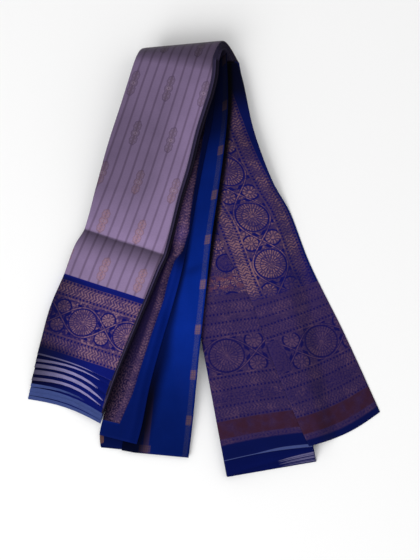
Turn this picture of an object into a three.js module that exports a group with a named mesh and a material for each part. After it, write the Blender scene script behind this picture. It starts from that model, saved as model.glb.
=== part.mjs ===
// A pleated saree, folded once over its middle and laid down in an open V.
//
// The cloth is one length, pleated to a strip about 126 mm wide, and the strip is bent over at the top. The front
// leg lies to the left and on top, the back leg lies to the right and on the surface, and a few blue pleats have
// slipped out between them. Millimetres, +Z up from the surface, +Y towards the bend, +X to the right.
import * as THREE from "three";

// Cloth
const SHEET = 1.2; // a pleat that shows, drawn as one wall
const SEAM = 0.3; // air between two stretches of cloth
const PITCH = 1.5; // one layer of a pile and the air over it
const RECESS = 3; // how far the air between two layers reaches into a pile
const END_RECESS = 0.5; // the same where a pile meets the bend

// The bend, a half turn round a level axis that lies a little askew to the strip
const BEND_RADIUS = 29; // outside of the outer pleat
const BEND_ASKEW = 0.437; // tangent of the angle between the strip and the square across the axis
const FRONT_LAYERS = 8;
const BACK_LAYERS = 9;
const DRAPE_LAYERS = 3;
const FRONT_SHIFT = 1.3; // each lower layer of the front leg stands this much further to the right
const PILE_RADIUS = BEND_RADIUS - SHEET - SEAM; // outside of the pile in the bend
const INNER_RADIUS = PILE_RADIUS - FRONT_LAYERS * PITCH;
const BACK_SHIFT = Math.PI * BEND_ASKEW * PITCH - FRONT_SHIFT; // the same shift, on the back leg
const BACK_HEIGHT = BACK_LAYERS * PITCH;
const PALLU_UNDER = BACK_HEIGHT + SEAM; // underside of the left pallu panel
const PALLU_OVER = PALLU_UNDER + SHEET + SEAM; // underside of the right pallu panel
const DRAPE_UNDER = PALLU_OVER + SHEET + SEAM; // underside of the blue pleats where they cross the back leg

// The crease that an earlier fold left across the front leg
const CREASE_ALONG = 284; // from the leg's datum
const CREASE_DEPTH = 4.2;
const CREASE_ABOVE = 20; // width of the slope on the bend's side
const CREASE_BELOW = 24; // and on the hem's side
const CREASE_LEFT = 252; // from the crest, down the left edge
const CREASE_RIGHT = 298;

// The edges of each stretch of cloth as it lies, from the crest of the bend down to its last hem
const FRONT_LEFT = [
  { x: -105, y: 284 },
  { x: -122, y: 230 },
  { x: -142, y: 170 },
  { x: -161, y: 104 },
  { x: -178.5, y: 44 },
  { x: -193, y: 19 },
  { x: -209, y: -24 },
  { x: -229, y: -71 },
  { x: -245, y: -130 },
  { x: -257, y: -176 },
  { x: -266.4, y: -209 },
];
const FRONT_RIGHT = [
  { x: 13, y: 295 },
  { x: 11.5, y: 270 },
  { x: 6, y: 245 },
  { x: -1, y: 223 },
  { x: -12, y: 188 },
  { x: -25, y: 135 },
  { x: -38, y: 92 },
  { x: -60, y: 6 },
  { x: -69, y: -14 },
  { x: -89, y: -63 },
  { x: -110, y: -114 },
  { x: -134, y: -174 },
  { x: -147, y: -211 },
  { x: -158, y: -245 },
];
const BACK_LEFT = [
  { x: -71, y: 287 },
  { x: -54, y: 178 },
  { x: -35, y: 58 },
  { x: -5, y: -116 },
  { x: 18, y: -241 },
  { x: 34, y: -325.8 },
];
const BACK_RIGHT = [
  { x: 46, y: 297.5 },
  { x: 67, y: 186 },
  { x: 89, y: 73 },
  { x: 124, y: -99 },
  { x: 149, y: -219 },
  { x: 166, y: -303 },
];
const FAN_LEFT = [
  { x: -36, y: 289 },
  { x: -20, y: 208 },
  { x: 0, y: 118 },
  { x: 28, y: 21 },
  { x: 56, y: -33 },
  { x: 75, y: -75 },
  { x: 103, y: -155 },
  { x: 120, y: -198 },
  { x: 142, y: -250 },
  { x: 156, y: -280 },
];
const FAN_RIGHT = [
  { x: 50, y: 295 },
  { x: 58, y: 270 },
  { x: 75, y: 192 },
  { x: 104, y: 114 },
  { x: 128, y: 73 },
  { x: 158, y: -5 },
  { x: 211, y: -114 },
  { x: 262.8, y: -229 },
];
const DRAPE_LEFT = [
  { x: -6, y: 292 },
  { x: -21, y: 223 },
  { x: -42, y: 148 },
  { x: -62, y: 81 },
  { x: -81, y: 6 },
  { x: -102, y: -69 },
  { x: -126, y: -152 },
  { x: -145, y: -226 },
  { x: -154, y: -263 },
  { x: -153, y: -282 },
];
const VALLEY = [
  { x: 20, y: 293 },
  { x: 13, y: 210 },
  { x: 4, y: 165 },
  { x: -5, y: 120 },
  { x: -20, y: 39 },
  { x: -34, y: -24 },
  { x: -53, y: -92 },
  { x: -65, y: -132 },
  { x: -81, y: -192 },
  { x: -93, y: -252 },
  { x: -100, y: -277 },
  { x: -103.5, y: -289.5 },
];
const BLUE_RIGHT = [
  { x: 34, y: 307 },
  { x: 36, y: 228 },
  { x: 30, y: 163 },
  { x: 21, y: 97 },
  { x: 11, y: 28 },
  { x: 4, y: -39 },
  { x: -4, y: -114 },
  { x: -11, y: -182 },
  { x: -16, y: -234 },
  { x: -23, y: -297 },
];

// Hems. Each row is one layer, the uppermost first: how far down the two edges its hem lies, measured from the
// crest, and how far the hem's middle bows towards the bend.
const FRONT_HEMS = [
  { left: 452, right: 503, bow: 4 },
  { left: 462, right: 511, bow: 5 },
  { left: 471, right: 525, bow: 7 },
  { left: 481, right: 536, bow: 8 },
  { left: 491, right: 545, bow: 8 },
  { left: 500, right: 551, bow: 6 },
  { left: 507, right: 557, bow: 5 },
  { left: 513, right: 563, bow: 4 },
  { left: 519, right: 569, bow: 3 },
];
const BACK_RIGHT_STEPS = 13.5; // the fan of the back leg's hems at its right edge, from the top layer to the last
const BACK_LEFT_STEPS = 2;
const PALLU_HEM = { left: 24, right: 23, bow: 3 }; // short of the back leg's last hem
const FAN_HEM_BOW = -7;
const DRAPE_ROWS = 18;
const BORDERED_COLUMNS = 8;
const BLUE_COLUMNS = 5;
const TUCKED_COLUMNS = 3; // the blue pleat's left edge lies this far under the bordered one

// Heights of the front leg's underside, by the distance from the crest
const FRONT_LIFT = [
  { from: 0, left: 44.5, right: 44.5 },
  { from: 30, left: 43, right: 43 },
  { from: 70, left: 38, right: 39 },
  { from: 120, left: 30, right: 34 },
  { from: 170, left: 20, right: 29 },
  { from: 210, left: 12, right: 26.5 },
  { from: 250, left: 6, right: 23.5 },
  { from: 290, left: 2, right: 19 },
  { from: 340, left: 0, right: 12.5 },
  { from: 400, left: 0, right: 8.5 },
  { from: 460, left: 0, right: 7.5 },
  { from: 640, left: 0, right: 7.5 },
];
const LIFT_FROM = 0.35; // the share of the leg's width where the rise on to the blue pleats starts
const LIFT_TO = 0.78;
const DRAPE_FALL_FROM = 8; // the blue pleats come down from the back leg to the surface between these distances
const DRAPE_FALL_TO = 54;
const DRAPE_RISE = 12; // and rise by this much into the hollow of the bend
const DRAPE_RISE_FROM = 95;
const FAN_FALL_FROM = 3; // the right pallu panel comes down from the back leg between these distances
const FAN_FALL_TO = 36;
// The bordered pleat's soft ridge beside the valley, by the distance down it
const RIDGE = [
  { from: 0, height: 0 },
  { from: 90, height: 1 },
  { from: 170, height: 3.5 },
  { from: 270, height: 6.5 },
  { from: 400, height: 7 },
  { from: 600, height: 4 },
];
const RIDGE_START = 0.55; // the share of the pleat's width where the ridge begins

const COLOURS = {
  lavender: 0x8b789e,
  greyViolet: 0x4a4660,
  blue: 0x0a1c84,
  mauve: 0x4a2f52,
  navy: 0x10164a,
};

const mix = THREE.MathUtils.lerp;
const ease = (from, to, at) => THREE.MathUtils.smoothstep(at, from, to);

/** A smooth curve through an edge's rows, read by the distance along it. */
function edgeOf(rows) {
  const curve = new THREE.CatmullRomCurve3(
    rows.map((row) => new THREE.Vector3(row.x, row.y, 0)),
    false,
    "centripetal",
  );
  curve.arcLengthDivisions = 400;
  const length = curve.getLength();
  return {
    length,
    at: (distance) => curve.getPointAt(THREE.MathUtils.clamp(distance / length, 0, 1)),
  };
}

/** Reads a column of a table whose rows are in order of `from`. */
function read(rows, column, at) {
  const next = rows.findIndex((row) => row.from > at);
  if (next === 0) return rows[0][column];
  if (next < 0) return rows[rows.length - 1][column];
  const [a, b] = [rows[next - 1], rows[next]];
  return mix(a[column], b[column], (at - a.from) / (b.from - a.from));
}

const frontLeft = edgeOf(FRONT_LEFT);
const frontRight = edgeOf(FRONT_RIGHT);
const backLeft = edgeOf(BACK_LEFT);
const backRight = edgeOf(BACK_RIGHT);
const fanLeft = edgeOf(FAN_LEFT);
const fanRight = edgeOf(FAN_RIGHT);
const drapeLeft = edgeOf(DRAPE_LEFT);
const valley = edgeOf(VALLEY);
const blueRight = edgeOf(BLUE_RIGHT);

// The bend's axis in plan, and the way across it towards the top
const CREST = new THREE.Vector3(FRONT_LEFT[0].x, FRONT_LEFT[0].y, 0);
const CREST_END = new THREE.Vector3(FRONT_RIGHT[0].x, FRONT_RIGHT[0].y, 0);
const AXIS = CREST_END.clone().sub(CREST).normalize();
const ACROSS = new THREE.Vector3(-AXIS.y, AXIS.x, 0);
const CREST_WIDTH = CREST_END.distanceTo(CREST);

// The front leg's own directions, for its crease and its underside
const LEG_DATUM = new THREE.Vector3(-91.5, 313.5, 0);
const LEG_DOWN = new THREE.Vector3(-0.31, -0.951, 0);
const LEG_RIGHT = new THREE.Vector3(0.951, -0.31, 0);
const LEG_WIDTH = 126;

const BACK_DOWN = backLeft.at(backLeft.length).sub(backLeft.at(0)).normalize();
const BACK_OUT_LEFT = new THREE.Vector3(BACK_DOWN.y, -BACK_DOWN.x, 0);
const backEdgeDown = backRight.at(backRight.length).sub(backRight.at(0)).normalize();
const BACK_OUT_RIGHT = new THREE.Vector3(-backEdgeDown.y, backEdgeDown.x, 0);
const BACK_FOOT_RIGHT = backRight.at(0).addScaledVector(AXIS, BACK_SHIFT * FRONT_LAYERS);

const fromCrest = (p) => -p.clone().sub(CREST).dot(ACROSS);

/** Height of the front leg's underside at a place in plan. */
function frontUnder(p) {
  const across = p.clone().sub(LEG_DATUM).dot(LEG_RIGHT) / LEG_WIDTH;
  const distance = fromCrest(p);
  const left = read(FRONT_LIFT, "left", distance);
  const right = read(FRONT_LIFT, "right", distance);
  return mix(left, right, ease(LIFT_FROM, LIFT_TO, across));
}

/** How much of its full height a pile of the front leg has near the crease. */
function creaseShare(p) {
  const along = p.clone().sub(LEG_DATUM).dot(LEG_DOWN) - CREASE_ALONG;
  const width = along < 0 ? CREASE_ABOVE : CREASE_BELOW;
  const near = Math.max(0, 1 - Math.abs(along) / width);
  return 1 - (CREASE_DEPTH / (FRONT_LAYERS * PITCH)) * near * near;
}

/** Height of the surface under the blue pleats: the back leg, and beside it the table. */
function drapeUnder(p) {
  const outside = p.clone().sub(backLeft.at(0)).dot(BACK_OUT_LEFT);
  const resting = DRAPE_UNDER * (1 - ease(DRAPE_FALL_FROM, DRAPE_FALL_TO, outside));
  return resting + DRAPE_RISE * (1 - ease(0, DRAPE_RISE_FROM, fromCrest(p)));
}

/** Height of the surface under the right pallu panel. */
function fanUnder(p) {
  const outside = p.clone().sub(BACK_FOOT_RIGHT).dot(BACK_OUT_RIGHT);
  return PALLU_OVER * (1 - ease(FAN_FALL_FROM, FAN_FALL_TO, outside));
}

/** Collects faces into one closed mesh, in which equal corners are one vertex. */
class Skin {
  constructor() {
    this.positions = [];
    this.faces = [];
    this.known = new Map();
  }
  vertex(p) {
    const key = [p.x, p.y, p.z].map((value) => Math.round(value * 2000)).join();
    if (!this.known.has(key)) {
      this.known.set(key, this.positions.length / 3);
      this.positions.push(p.x, p.y, p.z);
    }
    return this.known.get(key);
  }
  triangle(a, b, c) {
    if (a !== b && b !== c && c !== a) this.faces.push(a, b, c);
  }
  quad(a, b, c, d) {
    this.triangle(a, b, c);
    this.triangle(a, c, d);
  }
  /** Quads between two closed rings of the same number of points, the upper one first. */
  strip(upper, lower) {
    upper.forEach((_, i) => {
      const next = (i + 1) % upper.length;
      this.quad(upper[i], lower[i], lower[next], upper[next]);
    });
  }
  geometry() {
    const made = new THREE.BufferGeometry();
    made.setAttribute("position", new THREE.Float32BufferAttribute(this.positions, 3));
    made.setIndex(this.faces);
    made.computeVertexNormals();
    return made;
  }
}

/** The rim of a grid of `rows` by `columns` cells, anticlockwise from above: down the left, along the hem, up. */
function rimOf(rows, columns) {
  const rim = [];
  for (let j = 0; j < rows; j += 1) rim.push([j, 0]);
  for (let i = 0; i < columns; i += 1) rim.push([rows, i]);
  for (let j = rows; j > 0; j -= 1) rim.push([j, columns]);
  for (let i = columns; i > 0; i -= 1) rim.push([0, i]);
  return rim;
}

/** Fills a grid of points with faces that look up, or down. */
function cap(skin, rows, columns, point, up) {
  for (let j = 0; j < rows; j += 1) {
    for (let i = 0; i < columns; i += 1) {
      const corners = [
        [j, i],
        [j + 1, i],
        [j + 1, i + 1],
        [j, i + 1],
      ].map(([row, column]) => skin.vertex(point(row, column)));
      const [a, b, c, d] = corners;
      if (up) skin.quad(a, b, c, d);
      else skin.quad(a, d, c, b);
    }
  }
}

/** One wall of cloth. `point(j, i, face)` gives the lower face at 0 and the upper face at 1. */
function wall(rows, columns, point) {
  const skin = new Skin();
  cap(skin, rows, columns, (j, i) => point(j, i, 1), true);
  cap(skin, rows, columns, (j, i) => point(j, i, 0), false);
  const rim = rimOf(rows, columns);
  const ring = (face) => rim.map(([j, i]) => skin.vertex(point(j, i, face)));
  skin.strip(ring(1), ring(0));
  return skin.geometry();
}

/**
 * A pile of layers as one solid whose rims stand out past the air between them.
 * `point(layer, j, i, inset, level)` places a point of a layer's outline, drawn in by `inset`, at a height of
 * `level` layers below the pile's top.
 */
function pile(layers, rows, columns, point) {
  const skin = new Skin();
  const last = layers - 1;
  const thickness = SHEET / PITCH;
  cap(skin, rows, columns, (j, i) => point(0, j, i, 0, 0), true);
  cap(skin, rows, columns, (j, i) => point(last, j, i, 0, last + thickness), false);
  const rim = rimOf(rows, columns);
  const rings = [];
  const addRing = (layer, inset, level) =>
    rings.push(rim.map(([j, i]) => skin.vertex(point(layer, j, i, inset, level))));
  for (let layer = 0; layer < layers; layer += 1) {
    addRing(layer, 0, layer);
    addRing(layer, 0, layer + thickness);
    if (layer < last) {
      addRing(layer, RECESS, layer + thickness);
      addRing(layer, RECESS, layer + 1);
    }
  }
  rings.slice(1).forEach((ring, i) => skin.strip(rings[i], ring));
  return skin.geometry();
}

/** Places between the crest, the crease and a hem, closer together at the crease. */
const FRONT_STATIONS = [
  { part: 0, share: 0 },
  { part: 0, share: 0.14 },
  { part: 0, share: 0.3 },
  { part: 0, share: 0.46 },
  { part: 0, share: 0.62 },
  { part: 0, share: 0.78 },
  { part: 0, share: 0.92 },
  { part: 0, share: 0.965 },
  { part: 1, share: 0 },
  { part: 1, share: 0.05 },
  { part: 1, share: 0.12 },
  { part: 1, share: 0.3 },
  { part: 1, share: 0.5 },
  { part: 1, share: 0.7 },
  { part: 1, share: 0.86 },
  { part: 1, share: 1 },
];

/** A point of the front leg in plan: station `j`, share `u` of the width, for the layer with this hem. */
function frontPlan(j, u, hem, inset, shift) {
  const { part, share } = FRONT_STATIONS[j];
  const start = inset ? END_RECESS : 0;
  const leftDistance =
    part === 0 ? mix(start, CREASE_LEFT, share) : mix(CREASE_LEFT, hem.left - inset, share);
  const rightDistance =
    part === 0 ? mix(start, CREASE_RIGHT, share) : mix(CREASE_RIGHT, hem.right - inset, share);
  const left = frontLeft.at(leftDistance);
  const right = frontRight.at(rightDistance);
  const side = right.clone().sub(left);
  const margin = inset / side.length();
  const at = mix(margin, 1 - margin, u);
  const fade = 1 - 0.6 * (leftDistance / FRONT_HEMS[FRONT_LAYERS].left);
  const bow = part === 0 ? 0 : hem.bow * share * share * Math.sin(Math.PI * at);
  return left
    .addScaledVector(side, at)
    .addScaledVector(side.normalize(), shift * fade)
    .addScaledVector(LEG_DOWN, -bow);
}

/** A point in the bend: `turn` from 0 at the crest to pi on the surface, at a radius, shifted along the axis. */
function bendPoint(turn, radius, along) {
  return CREST.clone()
    .addScaledVector(AXIS, along + BEND_ASKEW * radius * turn)
    .addScaledVector(ACROSS, radius * Math.sin(turn))
    .add(new THREE.Vector3(0, 0, BEND_RADIUS + radius * Math.cos(turn)));
}

const FRONT_ROWS = FRONT_STATIONS.length - 1;
const FRONT_COLUMNS = 8;
const BEND_ROWS = 12;

/** The outer pleat: the front leg's face and the turn over the bend, down to the surface. */
function outerPleat() {
  const columns = FRONT_COLUMNS;
  return wall(BEND_ROWS + FRONT_ROWS, columns, (j, i, face) => {
    const u = i / columns;
    if (j < BEND_ROWS) {
      const turn = Math.PI * (1 - j / BEND_ROWS);
      return bendPoint(turn, PILE_RADIUS + SEAM + face * SHEET, u * CREST_WIDTH);
    }
    const p = frontPlan(j - BEND_ROWS, u, FRONT_HEMS[0], 0, 0);
    const pileTop = FRONT_LAYERS * PITCH * creaseShare(p);
    p.z = frontUnder(p) + pileTop + SEAM + face * SHEET;
    return p;
  });
}

/** The front leg's hidden layers, stepped at their hems. The lowest one reaches what it lies on. */
function frontPile() {
  const levels = FRONT_LAYERS - SEAM / PITCH;
  const columns = FRONT_COLUMNS;
  return pile(FRONT_LAYERS, FRONT_ROWS, columns, (layer, j, i, inset, level) => {
    const p = frontPlan(j, i / columns, FRONT_HEMS[layer + 1], inset, FRONT_SHIFT * layer);
    const full = FRONT_LAYERS * PITCH * creaseShare(p);
    p.z = frontUnder(p) + full * (1 - level / levels);
    return p;
  });
}

/** The same layers round the bend. */
function bendPile() {
  const columns = 4;
  const gap = SEAM / INNER_RADIUS;
  return pile(FRONT_LAYERS, BEND_ROWS, columns, (layer, j, i, inset, level) => {
    const end = gap + (inset ? END_RECESS / INNER_RADIUS : 0);
    const turn = mix(Math.PI - end, end, j / BEND_ROWS);
    const along = mix(inset, CREST_WIDTH - inset, i / columns);
    const radius = PILE_RADIUS - level * PITCH;
    return bendPoint(turn, radius, along + FRONT_SHIFT * layer);
  });
}

/** A point of the back leg in plan. */
function backPlan(share, u, hem, inset, shift) {
  const start = SEAM + (inset ? END_RECESS : 0);
  const left = backLeft.at(mix(start, hem.left - inset, share));
  const right = backRight.at(mix(start, hem.right - inset, share));
  const side = right.clone().sub(left);
  const margin = inset / side.length();
  const at = mix(margin, 1 - margin, u);
  const bow = hem.bow * share ** 4 * Math.sin(Math.PI * at);
  return left
    .addScaledVector(side, at)
    .addScaledVector(side.normalize(), shift * (1 - 0.8 * share))
    .addScaledVector(BACK_DOWN, -bow);
}

/** The back leg's hidden layers, which lie flat on the surface. */
function backPile() {
  const rows = 9;
  const columns = 5;
  const last = BACK_LAYERS - 1;
  return pile(BACK_LAYERS, rows, columns, (layer, j, i, inset, level) => {
    const short = 1 - layer / last;
    const hem = {
      left: backLeft.length - BACK_LEFT_STEPS * short,
      right: backRight.length - BACK_RIGHT_STEPS * short,
      bow: 2 * short,
    };
    const p = backPlan(j / rows, i / columns, hem, inset, BACK_SHIFT * layer);
    const whole = layer === last && level > last; // the lowest layer reaches the surface itself
    p.z = whole ? 0 : BACK_HEIGHT - level * PITCH;
    return p;
  });
}

/** The left pallu panel, flat on the back leg. */
function palluPanel() {
  const rows = 9;
  const columns = 6;
  const hem = {
    left: backLeft.length - PALLU_HEM.left,
    right: backRight.length - PALLU_HEM.right,
    bow: PALLU_HEM.bow,
  };
  return wall(rows, columns, (j, i, face) => {
    const p = backPlan(j / rows, i / columns, hem, 0, 0);
    p.z = PALLU_UNDER + face * SHEET;
    return p;
  });
}

/** A sheet between two edges, with its hem bowed, laid at the height that `under` gives. */
function leaf(rows, columns, leftEdge, rightEdge, { leftEnd, rightEnd, bow, under }) {
  return wall(rows, columns, (j, i, face) => {
    const share = j / rows;
    const u = i / columns;
    const left = leftEdge.at(leftEnd * share);
    const right = rightEdge.at(rightEnd * share);
    const down = rightEdge.at(rightEnd).sub(rightEdge.at(rightEnd * 0.9)).normalize();
    const p = left.lerp(right, u).addScaledVector(down, -bow * share ** 4 * Math.sin(Math.PI * u));
    p.z = under(p, u, share) + face * SHEET;
    return p;
  });
}

/** The right pallu panel, which fans out from the back leg on to the surface. */
function palluFan() {
  return leaf(18, 10, fanLeft, fanRight, {
    leftEnd: fanLeft.length,
    rightEnd: fanRight.length,
    bow: FAN_HEM_BOW,
    under: fanUnder,
  });
}

const HALF_LEFT = BORDERED_COLUMNS;
const DRAPE_COLUMNS = BORDERED_COLUMNS + BLUE_COLUMNS;

/**
 * A point in plan of the blue pleats' common grid: its columns run from the left edge to the valley and on to the
 * right edge. The last row lies at the layer's own hem, given by how far it falls short at each edge.
 */
function drapePlan(j, i, short, inset = 0) {
  const last = j === DRAPE_ROWS;
  const start = inset ? END_RECESS : 0;
  const down = (edge, cut) =>
    edge.at(Math.max(start, last ? edge.length - cut - inset : (edge.length * j) / DRAPE_ROWS));
  const middle = down(valley, short.valley);
  const outer = i <= HALF_LEFT ? down(drapeLeft, short.left) : down(blueRight, short.right);
  const share = i <= HALF_LEFT ? 1 - i / HALF_LEFT : (i - HALF_LEFT) / BLUE_COLUMNS;
  const p = middle.clone().lerp(outer, share);
  const atEdge = i === 0 || i === DRAPE_COLUMNS;
  return atEdge ? p.addScaledVector(middle.sub(outer).normalize(), inset) : p;
}

/** The pleat with the woven border, with its ridge beside the valley. */
function borderedPleat() {
  const over = DRAPE_LAYERS * PITCH + SHEET + SEAM;
  const short = { left: 19, valley: 13, right: 0 };
  return wall(DRAPE_ROWS, BORDERED_COLUMNS, (j, i, face) => {
    const p = drapePlan(j, i, short);
    const u = THREE.MathUtils.clamp((i / BORDERED_COLUMNS - RIDGE_START) / (1 - RIDGE_START), 0, 1);
    const ridge = read(RIDGE, "height", (valley.length * j) / DRAPE_ROWS);
    p.z = drapeUnder(p) + over + ridge * Math.sin(Math.PI * u) ** 2 + face * SHEET;
    return p;
  });
}

/** The blue pleat, whose left edge lies under the bordered one. */
function bluePleat() {
  const short = { left: 2, valley: 0, right: 0 };
  const first = BORDERED_COLUMNS - TUCKED_COLUMNS;
  return wall(DRAPE_ROWS, BLUE_COLUMNS + TUCKED_COLUMNS, (j, i, face) => {
    const p = drapePlan(j, first + i, short);
    p.z = drapeUnder(p) + DRAPE_LAYERS * PITCH + face * SHEET;
    return p;
  });
}

/** The hidden layers under those two pleats. */
function drapePile() {
  return pile(DRAPE_LAYERS, DRAPE_ROWS, DRAPE_COLUMNS, (layer, j, i, inset, level) => {
    const below = DRAPE_LAYERS - 1 - layer;
    const short = { left: 2 * below, valley: 1 + below, right: 2 + below };
    const p = drapePlan(j, i, short, inset);
    p.z = drapeUnder(p) + (DRAPE_LAYERS - level) * PITCH - SEAM;
    return p;
  });
}

/** A named piece with its own colour. */
function piece(name, geometry, colour, roughness) {
  const material = new THREE.MeshStandardMaterial({ color: colour, roughness, metalness: 0 });
  const mesh = new THREE.Mesh(geometry, material);
  mesh.name = name;
  return mesh;
}

const saree = new THREE.Group();
saree.name = "saree";
saree.add(
  piece("outer_pleat", outerPleat(), COLOURS.lavender, 0.45),
  piece("front_layers", frontPile(), COLOURS.greyViolet, 0.6),
  piece("bend_layers", bendPile(), COLOURS.greyViolet, 0.6),
  piece("back_layers", backPile(), COLOURS.navy, 0.6),
  piece("pallu_panel", palluPanel(), COLOURS.mauve, 0.5),
  piece("pallu_fan", palluFan(), COLOURS.mauve, 0.5),
  piece("drape_layers", drapePile(), COLOURS.navy, 0.6),
  piece("blue_pleat", bluePleat(), COLOURS.blue, 0.45),
  piece("bordered_pleat", borderedPleat(), COLOURS.mauve, 0.5),
);

export default saree;
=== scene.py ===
"""A pleated silk saree, bent over its middle and laid down in an open V.

The front leg lies to the left and on top, the back leg lies to the right with its pallu showing, and a few
blue pleats with a woven border have slipped out between them. Tables and places on the cloth are in
millimetres, and the meshes in metres.
"""

import logging
import math
import random
from bisect import bisect_left
from collections.abc import Callable, Sequence
from dataclasses import dataclass, field
from enum import Enum
from typing import Union

import bmesh
import bpy
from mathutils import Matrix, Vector, noise


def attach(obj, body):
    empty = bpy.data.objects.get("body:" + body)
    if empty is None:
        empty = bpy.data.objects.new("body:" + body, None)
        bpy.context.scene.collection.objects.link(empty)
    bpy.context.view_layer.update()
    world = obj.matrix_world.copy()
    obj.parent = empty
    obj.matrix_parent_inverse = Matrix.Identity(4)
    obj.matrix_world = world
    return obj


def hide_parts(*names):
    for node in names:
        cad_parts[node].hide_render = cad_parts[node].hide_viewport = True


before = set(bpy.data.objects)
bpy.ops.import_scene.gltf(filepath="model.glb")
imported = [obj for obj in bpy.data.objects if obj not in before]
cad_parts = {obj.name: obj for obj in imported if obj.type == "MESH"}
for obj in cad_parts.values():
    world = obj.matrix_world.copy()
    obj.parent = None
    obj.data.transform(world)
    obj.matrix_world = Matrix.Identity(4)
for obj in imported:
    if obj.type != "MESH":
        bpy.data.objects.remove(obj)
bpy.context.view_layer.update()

LOG = logging.getLogger("saree")
MM = 0.001
UP = Vector((0, 0, 1))

Socket = bpy.types.NodeSocket
Material = bpy.types.Material
Number = Union["Value", float]
Colour = tuple[float, float, float]
Pair = tuple[float, float]
Triple = tuple[float, float, float]
Table = Sequence[tuple[float, ...]]


def smooth(low: float, high: float, at: float) -> float:
    """Returns a share that eases from 0 at `low` to 1 at `high`, for the place `at`."""
    share = min(1.0, max(0.0, (at - low) / (high - low)))
    return share * share * (3 - 2 * share)


def blend(start: float, end: float, share: float) -> float:
    """Returns the value a share of the way from `start` to `end`."""
    return start + (end - start) * share


def read(rows: Sequence[Sequence[float]], at: float, column: int = 1) -> float:
    """Reads a table whose first column rises.

    Args:
        rows: The table's rows.
        at: A value of the first column.
        column: The column to read.

    Returns:
        The value in between the two nearest rows.
    """
    if at <= rows[0][0]:
        return rows[0][column]
    for low, high in zip(rows, rows[1:]):
        if at < high[0]:
            return blend(low[column], high[column], (at - low[0]) / (high[0] - low[0]))
    return rows[-1][column]


def across_at(rows: Sequence[Pair], y: float) -> float:
    """Returns where across, in x, a line through places in plan is at a y. Its rows rise in y."""
    return read([(row[1], row[0]) for row in rows], y)


def ripple(point: Vector, size: float, seed: float) -> float:
    """Returns a soft unevenness from -1 to 1, with waves about `size` across, at a point in millimetres."""
    return noise.noise(Vector((point.x / size, point.y / size, seed)))


@dataclass(eq=False)
class Edge:
    """A long edge of a stretch of cloth: a smooth curve through its rows, read by the distance along it."""

    rows: Sequence[Pair]
    divisions: int = 400
    length: float = field(init=False)
    _lengths: list[float] = field(init=False)

    def __post_init__(self) -> None:
        """Measures the curve once."""
        points = [self._curve(step / self.divisions) for step in range(self.divisions + 1)]
        self._lengths = [0.0]
        for before, after in zip(points, points[1:]):
            self._lengths.append(self._lengths[-1] + (after - before).length)
        self.length = self._lengths[-1]

    def _curve(self, share: float) -> Vector:
        """Returns the point at a share of the rows, on a centripetal curve through them.

        Args:
            share: The share of the way through the rows.

        Returns:
            The point, at no height.
        """
        points = [Vector((x, y, 0)) for x, y in self.rows]
        place = share * (len(points) - 1)
        first = min(int(place), len(points) - 2)
        weight = place - first
        b, c = points[first], points[first + 1]
        a = points[first - 1] if first > 0 else b * 2 - c
        d = points[first + 2] if first + 2 < len(points) else c * 2 - b
        ab, bc, cd = (math.sqrt((q - p).length) for p, q in ((a, b), (b, c), (c, d)))
        leave = ((b - a) / ab - (c - a) / (ab + bc) + (c - b) / bc) * bc
        arrive = ((c - b) / bc - (d - b) / (bc + cd) + (d - c) / cd) * bc
        cubic = b * 2 - c * 2 + leave + arrive
        square = c * 3 - b * 3 - leave * 2 - arrive
        return ((cubic * weight + square) * weight + leave) * weight + b

    def at(self, distance: float) -> Vector:
        """Returns the point at a distance from the edge's start.

        Args:
            distance: The distance, which is held to the edge's length.

        Returns:
            The point, at no height.
        """
        distance = min(self.length, max(0.0, distance))
        after = min(max(1, bisect_left(self._lengths, distance)), self.divisions)
        low, high = self._lengths[after - 1], self._lengths[after]
        return self._curve((after - 1 + (distance - low) / (high - low)) / self.divisions)


# Thickness of the cloth here, where the solids have SHEET
SHELL_WALL = 0.9
FOLD_WALL = 0.4
# A pleat's width as it lies, and the width of its cut with its folds, which is in metres
PLEAT_WIDTH = 118
PLEAT_CUT = 0.122
# What counts as the distance up from the hem at the bend, for the outer pleat's border and for the pile
FAR_FROM_HEM = 600.0
BEND_FROM_HEM = 500.0

# Cloth, as in the solids
SHEET = 1.2
SEAM = 0.3
PITCH = 1.5
BEND_RADIUS = 29.0
BEND_ASKEW = 0.437
FRONT_LAYERS = 8
BACK_LAYERS = 9
DRAPE_LAYERS = 3
FRONT_SHIFT = 1.3
PILE_RADIUS = BEND_RADIUS - SHEET - SEAM
BACK_SHIFT = math.pi * BEND_ASKEW * PITCH - FRONT_SHIFT
BACK_HEIGHT = BACK_LAYERS * PITCH
PALLU_UNDER = BACK_HEIGHT + SEAM
PALLU_OVER = PALLU_UNDER + SHEET + SEAM
DRAPE_UNDER = PALLU_OVER + SHEET + SEAM

FRONT_LEFT = Edge(
    [(-105, 284), (-122, 230), (-142, 170), (-161, 104), (-178.5, 44), (-193, 19)]
    + [(-209, -24), (-229, -71), (-245, -130), (-257, -176), (-266.4, -209)]
)
FRONT_RIGHT = Edge(
    [(13, 295), (11.5, 270), (6, 245), (-1, 223), (-12, 188), (-25, 135), (-38, 92), (-60, 6), (-69, -14)]
    + [(-89, -63), (-110, -114), (-134, -174), (-147, -211), (-158, -245)]
)
BACK_LEFT = Edge([(-71, 287), (-54, 178), (-35, 58), (-5, -116), (18, -241), (34, -325.8)])
BACK_RIGHT = Edge([(46, 297.5), (67, 186), (89, 73), (124, -99), (149, -219), (166, -303)])
FAN_LEFT = Edge(
    [(-36, 289), (-20, 208), (0, 118), (28, 21), (56, -33)]
    + [(75, -75), (103, -155), (120, -198), (142, -250), (156, -280)]
)
FAN_RIGHT = Edge(
    [(50, 295), (58, 270), (75, 192), (104, 114), (128, 73), (158, -5), (211, -114), (262.8, -229)]
)
DRAPE_LEFT = Edge(
    [(-6, 292), (-21, 223), (-42, 148), (-62, 81), (-81, 6), (-102, -69)]
    + [(-126.5, -152), (-147, -226), (-155.5, -263), (-154, -282)]
)
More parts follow.
